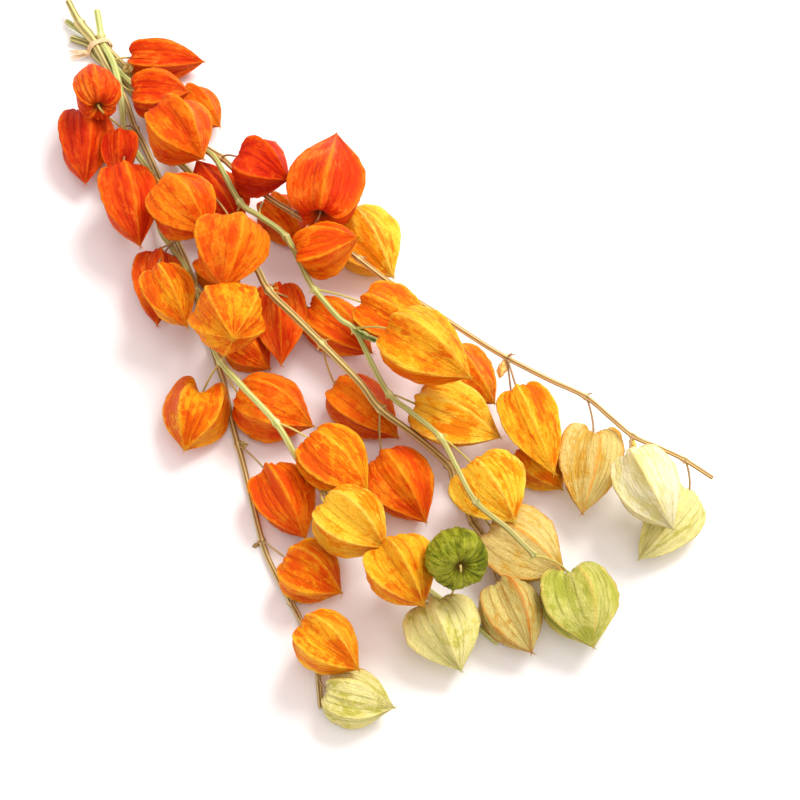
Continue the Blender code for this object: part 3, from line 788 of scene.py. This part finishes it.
class Shader:
    """A node material with a Principled shader and short ways to add nodes to it."""

    def __init__(self, name, roughness):
        self.material = bpy.data.materials.new(name)
        self.material.use_nodes = True
        self.tree = self.material.node_tree
        self.shader = self.tree.nodes["Principled BSDF"]
        self.shader.inputs["Roughness"].default_value = roughness

    def add(self, kind, sockets, **settings):
        """Adds a node with these settings, and gives its input sockets their values or links."""
        made = self.tree.nodes.new(kind)
        for name, value in settings.items():
            setattr(made, name, value)
        for name, value in sockets.items():
            self.give(made.inputs[name], value)
        return made

    def give(self, socket, value):
        """Links an output to the socket, or sets its own value."""
        if isinstance(value, bpy.types.NodeSocket):
            self.tree.links.new(value, socket)
        else:
            socket.default_value = value

    def attribute(self, name):
        return self.add("ShaderNodeAttribute", {}, attribute_name=name).outputs["Fac"]

    def places(self, name, scale):
        """The vector stored at each point, scaled."""
        source = self.add("ShaderNodeAttribute", {}, attribute_name=name).outputs["Vector"]
        return self.add("ShaderNodeMapping", {"Vector": source, "Scale": scale}).outputs["Vector"]

    def noise(self, places, scale, detail=4.0, rough=0.55, bend=0.0):
        sockets = {"Vector": places, "Scale": scale, "Detail": detail, "Roughness": rough, "Distortion": bend}
        return self.add("ShaderNodeTexNoise", sockets).outputs["Fac"]

    def warp(self, places, scale, reach):
        """The places, each moved by up to this reach, so that a net drawn on them wanders."""
        away = self.add("ShaderNodeTexNoise", {"Vector": places, "Scale": scale}).outputs["Color"]
        sockets = {0: away, 1: (2 * reach, 2 * reach, 2 * reach), 2: places}
        return self.add("ShaderNodeVectorMath", sockets, operation="MULTIPLY_ADD").outputs["Vector"]

    def net(self, places, scale):
        """The distance to the nearest line of a net."""
        sockets = {"Vector": places, "Scale": scale}
        return self.add("ShaderNodeTexVoronoi", sockets, feature="DISTANCE_TO_EDGE").outputs["Distance"]

    def span(self, value, low, high, to_low=0.0, to_high=1.0):
        """The value's share of the way from low to high, smoothed and stretched from to_low to to_high."""
        sockets = {"Value": value, "From Min": low, "From Max": high, "To Min": to_low, "To Max": to_high}
        return self.add("ShaderNodeMapRange", sockets, interpolation_type="SMOOTHSTEP").outputs["Result"]

    def plus(self, first, second):
        return self.add("ShaderNodeMath", {0: first, 1: second}, operation="ADD").outputs["Value"]

    def times(self, first, second):
        return self.add("ShaderNodeMath", {0: first, 1: second}, operation="MULTIPLY").outputs["Value"]

    def blend(self, *shares):
        """The sum of the values, each taken times its share."""
        total = None
        for value, share in shares:
            part = self.times(value, share)
            total = part if total is None else self.plus(total, part)
        return total

    def mix(self, share, first, second):
        """The colour between the first and the second at this share."""
        sockets = {"Factor": share, 6: first, 7: second}
        return self.add("ShaderNodeMix", sockets, data_type="RGBA").outputs[2]

    def bump(self, height, strength, distance):
        sockets = {"Strength": strength, "Distance": distance, "Height": height}
        self.give(self.shader.inputs["Normal"], self.add("ShaderNodeBump", sockets).outputs["Normal"])

    def colour(self, value):
        self.give(self.shader.inputs["Base Color"], value)


def husk_look(number, look):
    """Papery husk: streaks that run from stalk to tip, pale patches netted by veins, lighter ribs, and
    painted shade deep in the pleats and creases.
    """
    made = Shader(f"husk_{number:02d}", 0.52)
    fan = made.places("fan", (1.0, 1.0, 1.0))
    paper = made.places("paper", (1.0, 1.0, 0.55))
    streaks = made.noise(fan, 5.0, 5.0, 0.6, 0.25)
    fine_streaks = made.noise(fan, 22.0, 3.0, 0.55)
    clouds = made.noise(paper, 75.0, 4.0, 0.6, 0.4)
    mottle = made.noise(paper, 330.0, 5.0, 0.70, 0.3)
    net = made.net(made.warp(paper, 260.0, 0.0016), 620.0)
    tone = made.attribute("tone")
    shade = made.blend((streaks, 0.6), (clouds, 0.4))
    shade = made.plus(made.span(shade, 0.36, 0.60), made.times(tone, 0.30))
    colour = made.mix(made.span(shade, 0.10, 0.90), look["deep"], look["body"])
    edge = 0.62 - look["spread"] * 0.4
    patches = made.blend((clouds, 0.55), (mottle, 0.45), (tone, 0.05))
    patches = made.span(patches, edge, edge + 0.11, 0.0, 0.90)
    veins = made.span(net, 0.02, 0.16)
    patches = made.times(patches, made.span(veins, 0.0, 1.0, 0.62, 1.0))
    colour = made.mix(patches, colour, look["pale"])
    colour = made.mix(made.span(fine_streaks, 0.54, 0.76, 0.0, 0.22), colour, look["deep"])
    rib = made.attribute("rib")
    worn = made.span(mottle, 0.35, 0.60, 0.35, 0.95)
    colour = made.mix(made.times(rib, worn), colour, look["rim"])
    faint = made.span(made.noise(paper, 120.0), 0.35, 0.65, 0.2, 0.8)
    colour = made.mix(made.times(made.attribute("vein"), faint), colour, look["vein_and_fold_shade"])
    # Painted shade: the colour darkens deep in the pleats and creases.
    colour = made.mix(made.times(made.attribute("depth"), 0.55), colour, look["vein_and_fold_shade"])
    along = made.attribute("along")
    colour = made.mix(made.span(along, 0.86, 1.0, 0.0, 0.5), colour, look["rim"])
    colour = made.mix(made.span(along, 0.01, 0.17, 0.95, 0.0), colour, rgb(92, 56, 12))
    made.colour(colour)
    crumple = made.noise(paper, 620.0, 4.0, 0.6)
    relief = made.blend((fine_streaks, 0.8), (veins, -0.15), (crumple, 0.55))
    made.bump(relief, 1.0, 0.0011)
    made.shader.inputs["Subsurface Weight"].default_value = 0.12
    made.shader.inputs["Subsurface Radius"].default_value = (1.0, 0.35, 0.12)
    made.shader.inputs["Subsurface Scale"].default_value = 0.004
    made.shader.inputs["Specular IOR Level"].default_value = 0.10
    return made.material


def stem_look(name, look):
    """Dry stem: lengthwise fibres, grooves darkened partly by their own colour and partly by painted shade,
    rib crests lightened partly by their own colour and partly by a painted highlight, paler rings at the leaf
    nodes, and thin dry stalks.
    """
    made = Shader(name, 0.58)
    fan = made.places("fan", (1.0, 1.0, 1.0))
    fibres = made.noise(fan, 3.2, 5.0, 0.65)
    fine_fibres = made.noise(fan, 11.0, 3.0, 0.6)
    blotches = made.noise(made.places("fan", (0.4, 0.4, 9.0)), 1.6, 4.0, 0.6)
    colour = made.mix(made.span(made.attribute("share"), *look["turns"]), look["start"], look["end"])
    colour = made.mix(made.span(fibres, 0.50, 0.62, 0.0, 0.70), colour, look["streak"])
    colour = made.mix(made.span(blotches, 0.52, 0.75, 0.0, 0.45), colour, look["streak"])
    colour = made.mix(made.span(fine_fibres, 0.50, 0.64, 0.0, 0.75), colour, look["light"])
    ringed = made.times(made.attribute("knot"), made.span(blotches, 0.42, 0.58, 0.15, 0.9))
    colour = made.mix(ringed, colour, look["light"])
    scarred = made.times(made.attribute("knot"), made.span(blotches, 0.44, 0.36, 0.0, 0.9))
    colour = made.mix(scarred, colour, look["streak"])
    # The rib crests turn paler: partly their own colour, partly a painted highlight.
    colour = made.mix(made.times(made.attribute("crest"), 0.8), colour, look["light"])
    # The grooves turn darker: partly their own colour, partly painted shade.
    colour = made.mix(made.times(made.attribute("groove"), 0.95), colour, look["streak"])
    stalk = made.mix(made.span(fibres, 0.4, 0.7, 0.0, 0.6), look["stalk"], look["streak"])
    colour = made.mix(made.attribute("stalk"), colour, stalk)
    colour = made.mix(made.attribute("cut"), colour, rgb(232, 222, 160))
    made.colour(colour)
    relief = made.plus(fine_fibres, made.times(fibres, 0.6))
    made.bump(relief, 0.5, 0.0004)
    return made.material


def raffia_look():
    """Raffia: pale flat fibre with fine lengthwise lines."""
    made = Shader("raffia", 0.62)
    fan = made.places("fan", (1.0, 1.0, 1.0))
    fibres = made.noise(fan, 6.0, 4.0, 0.6)
    lines = made.noise(fan, 26.0, 2.0, 0.5)
    colour = made.mix(made.span(fibres, 0.35, 0.65), rgb(236, 194, 134), rgb(252, 226, 180))
    colour = made.mix(made.span(lines, 0.58, 0.75, 0.0, 0.5), colour, rgb(206, 156, 92))
    made.colour(colour)
    made.bump(lines, 0.5, 0.0003)
    return made.material


def scrap_look(name, light, dark):
    """A shrivelled bit of leaf."""
    made = Shader(name, 0.7)
    paper = made.places("paper", (1.0, 1.0, 1.0))
    patches = made.noise(paper, 420.0, 4.0, 0.65)
    veins = made.net(paper, 900.0)
    colour = made.mix(made.span(patches, 0.35, 0.65), dark, light)
    colour = made.mix(made.span(veins, 0.0, 0.12, 0.5, 0.0), colour, dark)
    made.colour(colour)
    made.bump(patches, 0.5, 0.0005)
    return made.material


def floor_look():
    made = Shader("floor", 0.85)
    source = made.add("ShaderNodeTexCoord", {})
    speckle = made.noise(source.outputs["Object"], 60.0, 3.0)
    made.colour(made.mix(speckle, rgb(246, 245, 245), rgb(250, 249, 249)))
    return made.material


# Husks.


def husk(number):
    """Builds the husk and gives its dimple and the direction of its axis."""
    form = husk_form(number)
    place, _ = lay_husk(number)
    skin = Skin()
    last = len(OUTLINE) - 1
    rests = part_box(f"lantern_{number:02d}")[0].z < TOUCHING

    def add(point, ring, angle):
        raw = place(point) - SHIFT
        if rests and raw.z < TABLE_GAP:
            raw.z = TABLE_GAP
        panel, across, _, _ = panel_of(form, ring, angle)
        from_ridge = 2 * min(across, 1 - across)
        return skin.add(
            raw,
            rib=bell(from_ridge, 0.09),
            vein=vein_at(form, panel, across, ring, 0.022) * min(1.0, ring / 2),
            depth=fold_depth(form, ring, angle),
            along=ring / last,
            tone=form["tones"][panel] * math.sin(math.pi * across) ** 0.6,
            fan=heading_at(angle, ring * 0.09) + form["seed"],
            paper=point * PAPER_SCALE + form["seed"],
        )

    base = add(Vector((0, 0, 0)), 0.0, 0.0)
    rings = []
    for row in range(1, HUSK_RINGS):
        ring = last * row / HUSK_RINGS
        loop = []
        for column in range(HUSK_COLUMNS):
            angle = math.tau * column / HUSK_COLUMNS
            loop.append(add(fine_point(form, ring, angle), ring, angle))
        if rings:
            skin.bridge(rings[-1], loop)
        rings.append(loop)
    end = fine_point(form, last - 0.02, 0.0)
    end.x = form["bend"].x
    end.y = form["bend"].y
    tip = add(end, float(last), 0.0)
    skin.fan(rings[0], base, flip=True)
    skin.fan(rings[-1], tip)
    teeth(skin, number, place(end) - SHIFT, place(end * 0.9) - SHIFT, form)
    made = skin.build(f"husk_{number:02d}", husk_look(number, look_of(number)))
    outward(made)
    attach(made, "root")
    slot_of(number)
    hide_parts(f"lantern_{number:02d}")
    base = place(Vector((0, 0, 0))) - SHIFT
    return base, (place(Vector((0, 0, 1))) - SHIFT - base).normalized()


def teeth(skin, number, tip, inside, form):
    """The five hair-thin teeth at the tip, each curled its own way."""
    chance = random.Random(1000 + number)
    ahead = (tip - inside).normalized()
    side = ahead.orthogonal().normalized()
    for index in range(RIDGES):
        angle = math.tau * (index + chance.uniform(-0.3, 0.3)) / RIDGES
        heading = Matrix.Rotation(angle, 3, ahead) @ side
        length = TOOTH_LENGTH * chance.uniform(0.6, 1.2)
        curl = chance.uniform(0.3, 1.1)
        course = []
        for step in range(TOOTH_STEPS + 1):
            t = step / TOOTH_STEPS
            point = tip - ahead * TOOTH_ROOT + ahead * length * t + heading * length * curl * t * t
            point.z = max(point.z, TABLE_GAP + 0.0004)
            course.append(point)
        sweep(
            skin, course, TOOTH_SIDES, lambda index, angle: TOOTH_RADIUS * (1 - index / (TOOTH_STEPS + 0.5)),
            rib=1.0, vein=0.0, depth=0.0, along=1.0, tone=0.0, paper=form["seed"],
            fan=lambda index, angle: form["seed"] + heading_at(angle, index * 0.1),
        )


def outward(made):
    """Turns all faces outward."""
    work = bmesh.new()
    work.from_mesh(made.data)
    bmesh.ops.recalc_face_normals(work, faces=work.faces)
    work.to_mesh(made.data)
    work.free()
    made.data.shade_smooth()


def look_of(number):
    return next(look for look in LOOKS if number in look["numbers"])


def slot_of(number):
    return next((slot for slot, numbers in SLOTS.items() if number in numbers), "husk_red")


# Stems.


def tie_frame():
    """The tie's middle on the table, and the directions along and across the stems there."""
    along = (spot(TIE_COURSE[1], 0) - spot(TIE_COURSE[0], 0)).normalized()
    return spot(TIE_SPOT, 0) - SHIFT, along, Vector((-along.y, along.x, 0))


def course_place(stem, pixel):
    """The place of the course point that the stem has at this pixel."""
    heights = {entry[:2]: entry[2] / 1000 for entry in STEMS[stem]["course"] if entry != TIE}
    return spot(pixel, heights[pixel]) - SHIFT


def stem_places(stem):
    """The places that the stem passes through, and the numbers of the leaf nodes among them."""
    middle, along, across = tie_frame()
    side, height = stem["slot"]
    at_tie = middle + across * side * TIE_PITCH + Vector((0, 0, height))
    places = []
    nodes = []
    for entry in stem["course"]:
        if entry == TIE:
            places += [at_tie - along * TIE_REACH, at_tie + along * TIE_REACH]
            continue
        if len(entry) > 3:
            nodes.append(len(places))
        places.append(spot(entry[:2], entry[2] / 1000) - SHIFT)
    return places, nodes


def stem_run(stem):
    """The stem's fine course, the share of its length and the nearness of a leaf node at each point."""
    places, nodes = stem_places(stem)
    course = []
    counts = []
    for index in range(len(places) - 1):
        steps = max(2, round((places[index + 1] - places[index]).length / STEM_STEP))
        for step in range(steps):
            counts.append(index + step / steps)
            course.append(spline(places, counts[-1]))
    counts.append(len(places) - 1.0)
    course.append(places[-1])
    shares = [count / (len(places) - 1) for count in counts]
    return course, shares, [places[index] for index in nodes]


def stalk_point(start, base, axis, bow, t):
    """A point of the stalk's curve from the stem to the dimple."""
    arch, sway, approach = bow
    s = 1 - t
    lead = base - axis * approach
    side = axis.cross(Vector((0, 0, 1))).normalized()
    crest = start + Vector((0, 0, arch)) + side * sway + (lead - start) * CREST_SHARE
    return start * s**3 + crest * 3 * s * s * t + lead * 3 * s * t * t + (base - axis * STALK_GAP) * t**3


def stalk_rings(name, course, radii, husks):
    """For each husk the middles of its stalk's rings in the stem's solid, from the dimple on while they are
    free of the stem."""
    work = bmesh.new()
    work.from_mesh(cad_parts[name].data)
    bmesh.ops.remove_doubles(work, verts=work.verts, dist=1e-6)

    def clear_of_stem(vertex):
        index = min(range(0, len(course), 3), key=lambda item: (course[item] - vertex.co).length_squared)
        return (course[index] - vertex.co).length > radii[index] * 1.5 + 0.0010

    free = {vertex for vertex in work.verts if clear_of_stem(vertex)}
    found = []
    for base, _, _ in husks:
        ring = {vertex for vertex in free if (vertex.co - base).length < 2.2 * STALK_RADIUS}
        seen = set(ring)
        middles = []
        while len(ring) == 4:
            middles.append(sum((vertex.co for vertex in ring), Vector()) / len(ring))
            ring = {edge.other_vert(vertex) for vertex in ring for edge in vertex.link_edges} - seen
            ring &= free
            seen |= ring
        found.append(middles)
    work.free()
    return found


def stalk_courses(name, course, radii, husks):
    """The middle line of each fruit stalk, from the husk's dimple back to the stem: of the curves that the
    solids' stalks were chosen from, the one that passes nearest to the rings."""
    lines = []
    for (base, axis, knot), middles in zip(husks, stalk_rings(name, course, radii, husks)):
        roots = [place for place in course[::2] if (place - knot).length < ROOT_REACH]
        roots.insert(0, min(course, key=lambda place: (place - knot).length_squared))

        def miss(choice):
            root, *bow = choice
            return sum(
                (stalk_point(root, base, axis, bow, 1 - index / STALK_STEPS) - middle).length_squared
                for index, middle in enumerate(middles)
            )

        root, *bow = min(product(roots, ARCHES, SWAYS, APPROACHES), key=miss)
        counts = range(STALK_FINE_STEPS, -1, -1)
        lines.append([stalk_point(root, base, axis, bow, count / STALK_FINE_STEPS) for count in counts])
    return lines


def spurs(skin, name, course, radii, nodes, seed):
    """The short dry stubs of fallen leaves, one or two at each leaf node."""
    chance = random.Random(name + "spurs")
    for number, knot in enumerate(nodes):
        index = min(range(1, len(course) - 1), key=lambda item: (course[item] - knot).length_squared)
        ahead = (course[index + 1] - course[index - 1]).normalized()
        up = (Vector((0, 0, 1)) - ahead * ahead.z).normalized()
        for _ in range(chance.choice((1, 1, 2))):
            heading = Matrix.Rotation(chance.uniform(-1.9, 1.9), 3, ahead) @ up
            length = chance.uniform(0.0022, 0.0050)
            lean = chance.uniform(0.1, 0.8)
            bow = ahead.cross(heading) * chance.uniform(-0.4, 0.4)
            stub = []
            for step in range(SPUR_STEPS + 1):
                t = step / SPUR_STEPS
                place = course[index] + heading * (radii[index] * 0.6 + length * t)
                place += (ahead * lean + bow) * length * t * t
                place.z = max(place.z, SPUR_RADIUS)
                stub.append(place)
            wisp = seed + Vector((number * 1.7, 5, 0))

            def reach(index, angle):
                rough = noise.noise(stub[index] * 420 + wisp)
                return SPUR_RADIUS * (1 - SPUR_TAPER * index / SPUR_STEPS) * (1 + 0.22 * rough)

            dry_tube(skin, stub, reach, wisp)


def dry_tube(skin, points, reach, wisp):
    """Adds a thin dry stalk or stub to a stem's skin."""
    sweep(
        skin, points, STALK_SIDES, reach, share=0.5, knot=0.0, groove=0.0, crest=0.0, stalk=1.0, cut=0.0,
        fan=lambda index, angle: heading_at(angle, index * 0.03) * 0.4 + wisp,
    )


def scrap_seat(plan):
    """Where the leaf is joined to its stem, and the directions along the stem and away from it there."""
    stem = STEMS[plan["stem"]]
    course, shares, _ = stem_run(stem)
    here = course_place(plan["stem"], plan["at"])
    index = min(range(1, len(course) - 1), key=lambda item: (course[item] - here).length_squared)
    ahead = (course[index + 1] - course[index - 1]).normalized()
    up = (Vector((0, 0, 1)) - ahead * ahead.z).normalized()
    heading = Matrix.Rotation(math.radians(plan["turn"]), 3, ahead) @ up
    thick, thin = stem["radius"]
    return course[index] + heading * (thick + (thin - thick) * shares[index]) * 0.8, ahead, heading


def close_sheet(skin, upper, lower):
    """Faces over both grids of points and round their rim."""
    last = len(upper) - 1
    for row, column in product(range(last), repeat=2):
        corners = ((row, column), (row + 1, column), (row + 1, column + 1), (row, column + 1))
        skin.faces.append(tuple(upper[i][j] for i, j in corners))
        skin.faces.append(tuple(lower[i][j] for i, j in reversed(corners)))
    rim = [(0, step) for step in range(last)] + [(step, last) for step in range(last)]
    rim += [(last, last - step) for step in range(last)] + [(last - step, 0) for step in range(last)]
    skin.bridge([upper[i][j] for i, j in rim], [lower[i][j] for i, j in rim])


def scrap(name, plan):
    """A shrivelled leaf that still hangs on a stem: a thin crumpled sheet, curled along its vein."""
    chance = random.Random(name)
    seed = Vector((chance.uniform(0, 50), chance.uniform(0, 50), 0))
    root, ahead, heading = scrap_seat(plan)
    side = ahead.cross(heading)
    size = plan["size"]

    def sheet_point(u, v, lift):
        """A point at u from the stem to the leaf's end and at v across it, on the side that lift gives."""
        wide = math.sin(math.pi * min(1.0, 0.06 + u * 0.94)) ** 0.7 * size * 0.42
        crumple = noise.noise_vector(Vector((u, v, 0)) * 2.6 + seed) * size * 0.20 * min(1.0, u * 3)
        curl = abs(v) ** 1.6 * 0.7 + u * u * 0.5
        ragged = 1 + 0.3 * noise.noise(Vector((u * 6, 3.0 * v, 7)) + seed)
        point = root + (heading + ahead * plan["trail"]) * u * size
        point += ahead * v * wide * ragged * (1 - 0.35 * abs(v) ** 2)
        point += side * (curl * size * 0.35 + lift) + crumple
        point.z = max(point.z, TABLE_GAP + lift)
        return point

    skin = Skin()
    sheets = []
    for lift in (SCRAP_THICKNESS / 2, -SCRAP_THICKNESS / 2):
        sheet = []
        for row in range(SCRAP_STEPS + 1):
            line = []
            for column in range(SCRAP_STEPS + 1):
                point = sheet_point(row / SCRAP_STEPS, 2 * column / SCRAP_STEPS - 1, lift)
                line.append(skin.add(point, paper=point + seed))
            sheet.append(line)
        sheets.append(sheet)
    close_sheet(skin, *sheets)
    made = skin.build(name, scrap_look(name, plan["light"], plan["dark"]))
    outward(made)
    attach(made, "root")


def stem(name, plan, husks):
    """A stem with the stalks of its husks, each given as its dimple, its axis and the stalk's leaf node."""
    look = STEM_LOOKS[name]
    course, shares, nodes = stem_run(plan)
    thick, thin = plan["radius"]
    radii = [thick + (thin - thick) * share for share in shares]
    knots = [max(bell((place - knot).length, NODE_LENGTH) for knot in nodes) for place in course]
    rims = [max(bell((place - knot).length, 0.0010) for knot in nodes) for place in course]
    chance = random.Random(name)
    seed = Vector((chance.uniform(0, 50), chance.uniform(0, 50), chance.uniform(0, 50)))
    runs = [0.0]
    for before, after in zip(course, course[1:]):
        runs.append(runs[-1] + (after - before).length)
    last = len(course) - 1

    def groove(index, angle):
        twist = runs[index] * 3.0
        return abs(math.sin(RIB_COUNT / 2 * (angle + twist))) ** 0.9

    def reach(index, angle):
        rough = noise.noise(heading_at(angle, runs[index] * 90) * 1.3 + seed)
        swell = look["girth"] + NODE_SWELL * knots[index] + 0.12 * rims[index] + 0.05 * rough
        swell += BUTT_SWELL * bell(runs[index] - BUTT_PLACE, BUTT_LENGTH) * (name == "stem_b")
        swell -= look["groove"] * (1 - groove(index, angle))
        rim = 0.82 if index in (0, last) else 1.0
        return radii[index] * swell * rim

    skin = Skin()
    sweep(
        skin, course, STEM_SIDES, reach,
        fan=lambda index, angle: heading_at(angle, runs[index] * 5) + seed,
        share=lambda index, angle: shares[index],
        knot=lambda index, angle: knots[index],
        # groove carries the darker grooves, partly painted shade, and crest the paler rib crests, partly a
        # painted highlight.
        groove=lambda index, angle: (1 - groove(index, angle)) * min(1.0, look["groove"] * 9),
        crest=lambda index, angle: groove(index, angle) ** 6 * min(1.0, look["groove"] * 6),
        stalk=0.0,
        cut=lambda index, angle: 1.0 if index == 0 else 0.0,
    )
    for number, points in enumerate(stalk_courses(name, course, radii, husks)):
        count = len(points) - 1
        wisp = seed + Vector((number * 3.1, 0, 0))

        def thin_reach(index, angle):
            t = index / count
            flare = 0.5 * bell(t - 1.0, 0.10) + 0.35 * bell(t, 0.05)
            rough = noise.noise(points[index] * 420 + wisp)
            return STALK_RADIUS * (1.0 + flare + 0.18 * rough)

        dry_tube(skin, points, thin_reach, wisp)
    spurs(skin, name, course, radii, nodes, seed)
    made = skin.build(name + "_look", stem_look(name, look["colours"]))
    outward(made)
    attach(made, "root")
    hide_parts(name)


# The tie.


def ribbon(skin, chance, points, width, thin, turn=0.0, fade=0.0):
    """Adds a strand of raffia: a flat section, turned by this angle, that fades toward the end."""
    count = len(points) - 1
    offset = Vector((chance.uniform(0, 9), 0, 0))

    def reach(index, angle):
        flat = 1 / math.hypot(math.cos(angle - turn) / width, math.sin(angle - turn) / thin)
        return flat * (1 - fade * (index / count) ** 2)

    sweep(
        skin, points, 8, reach,
        fan=lambda index, angle: heading_at(angle, index * 0.02) + TIE_GRAIN + offset,
    )


def raffia():
    """Flat strands wound round the stems, a knot on the left and frayed ends."""
    middle, along, across = tie_frame()

    def at(side, height, forward=0.0):
        return middle + across * side + along * forward + Vector((0, 0, height))

    right = [Vector(point) for point in TIE_HALF]
    left = [Vector((-point.x, point.y)) for point in right[-2:0:-1]]
    ring = [*right, *left, right[0]]
    skin = Skin()
    chance = random.Random(7)
    for strand in range(TIE_STRANDS):
        shift = -0.0013 + 0.0026 * strand / (TIE_STRANDS - 1) + chance.uniform(-0.0003, 0.0003)
        grow = 1 + chance.uniform(-0.01, 0.03)
        phase = chance.uniform(0, 6)
        route = []
        for value in range(TIE_STEPS * 16 + 1):
            flat = spline(ring, value / TIE_STEPS % (len(ring) - 1))
            wave = 0.0003 * math.sin(value * 0.16 + phase)
            route.append(at(flat.x * grow, (flat.y - TIE_MIDDLE) * grow + TIE_MIDDLE, shift + wave))
        ribbon(skin, chance, route, 0.00062, 0.00030)
    for turn in range(KNOT_LOOPS):
        course = []
        for step in range(KNOT_STEPS + 1):
            angle = math.tau * step / KNOT_STEPS
            place = at(KNOT_SIDE, KNOT_HEIGHT)
            place += along * math.cos(angle) * 0.0017
            place.z += math.sin(angle) * (0.0014 + 0.0004 * turn)
            place += across * (0.0010 * math.sin(2 * angle + turn) - 0.0006 * turn)
            course.append(place)
        ribbon(skin, chance, course, 0.0006, 0.0006)
    for lift, sweep_by in TIE_ENDS:
        for strand in range(END_STRANDS):
            spread = (strand - 2) * 0.00045
            stray = chance.uniform(-0.0010, 0.0010)
            far = chance.uniform(0.85, 1.05)
            end_spread = sweep_by * 1.5 + spread * 2.4 + stray
            stops = [
                at(-0.0088, KNOT_HEIGHT, spread),
                at(-0.0135, 0.0056 + lift, sweep_by * 0.3 + spread),
                at(-0.0185, 0.0054 + lift + stray * 0.3, sweep_by * 0.8 + spread * 1.6),
                at(-0.0093 - 0.0142 * far, 0.0044 + lift + stray * 0.6, end_spread),
            ]
            course = [spline(stops, value / 6) for value in range(19)]
            ribbon(skin, chance, course, 0.00048, 0.00020, 1.2, 0.6)
    made = skin.build("raffia_band", raffia_look())
    outward(made)
    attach(made, "root")
    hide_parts("raffia_tie")


# The table, the light and the camera.


def stage():
    mesh = bpy.data.meshes.new("floor")
    corners = [(x * FLOOR_REACH, y * FLOOR_REACH, 0) for x, y in ((-1, -1), (1, -1), (1, 1), (-1, 1))]
    mesh.from_pydata(corners, [], [(0, 1, 2, 3)])
    mesh.materials.append(floor_look())
    floor = bpy.data.objects.new("floor", mesh)
    bpy.context.scene.collection.objects.link(floor)


def lamp(name, place, size, power, colour):
    data = bpy.data.lights.new(name, "AREA")
    data.shape = "DISK"
    data.size = size
    data.energy = power
    data.color = colour
    made = bpy.data.objects.new(name, data)
    made.location = place
    made.rotation_euler = (-Vector(place)).to_track_quat("-Z", "Y").to_euler()
    bpy.context.scene.collection.objects.link(made)


def lights():
    lamp("key", KEY_PLACE, KEY_SIZE, KEY_POWER, (1.0, 0.99, 0.97))
    lamp("top", TOP_PLACE, TOP_SIZE, TOP_POWER, (1.0, 0.99, 0.98))
    world = bpy.data.worlds.new("studio")
    world.use_nodes = True
    background = world.node_tree.nodes["Background"]
    background.inputs["Color"].default_value = ROOM_COLOUR
    background.inputs["Strength"].default_value = ROOM_STRENGTH
    bpy.context.scene.world = world
    bpy.context.scene.view_settings.view_transform = "Standard"


def camera():
    data = bpy.data.cameras.new("camera")
    data.sensor_width = SENSOR
    data.lens = SENSOR * VIEW_DISTANCE / (PIXEL * 2 * PICTURE_MIDDLE)
    made = bpy.data.objects.new("camera", data)
    made.location = -sight() * VIEW_DISTANCE - SHIFT
    made.rotation_euler = (math.pi / 2 - VIEW_ELEVATION, 0, VIEW_AZIMUTH)
    bpy.context.scene.collection.objects.link(made)
    bpy.context.scene.camera = made


camera()
lights()
stage()
grown = {number: husk(number) for number in HUSKS}
for name, plan in STEMS.items():
    borne = [number for number, row in HUSKS.items() if row["stem"] == name]
    stem(name, plan, [(*grown[number], course_place(name, HUSKS[number]["node"])) for number in borne])
raffia()
noise.seed_set(CRUMPLE_SEED)
for name, plan in SCRAPS.items():
    scrap(name, plan)
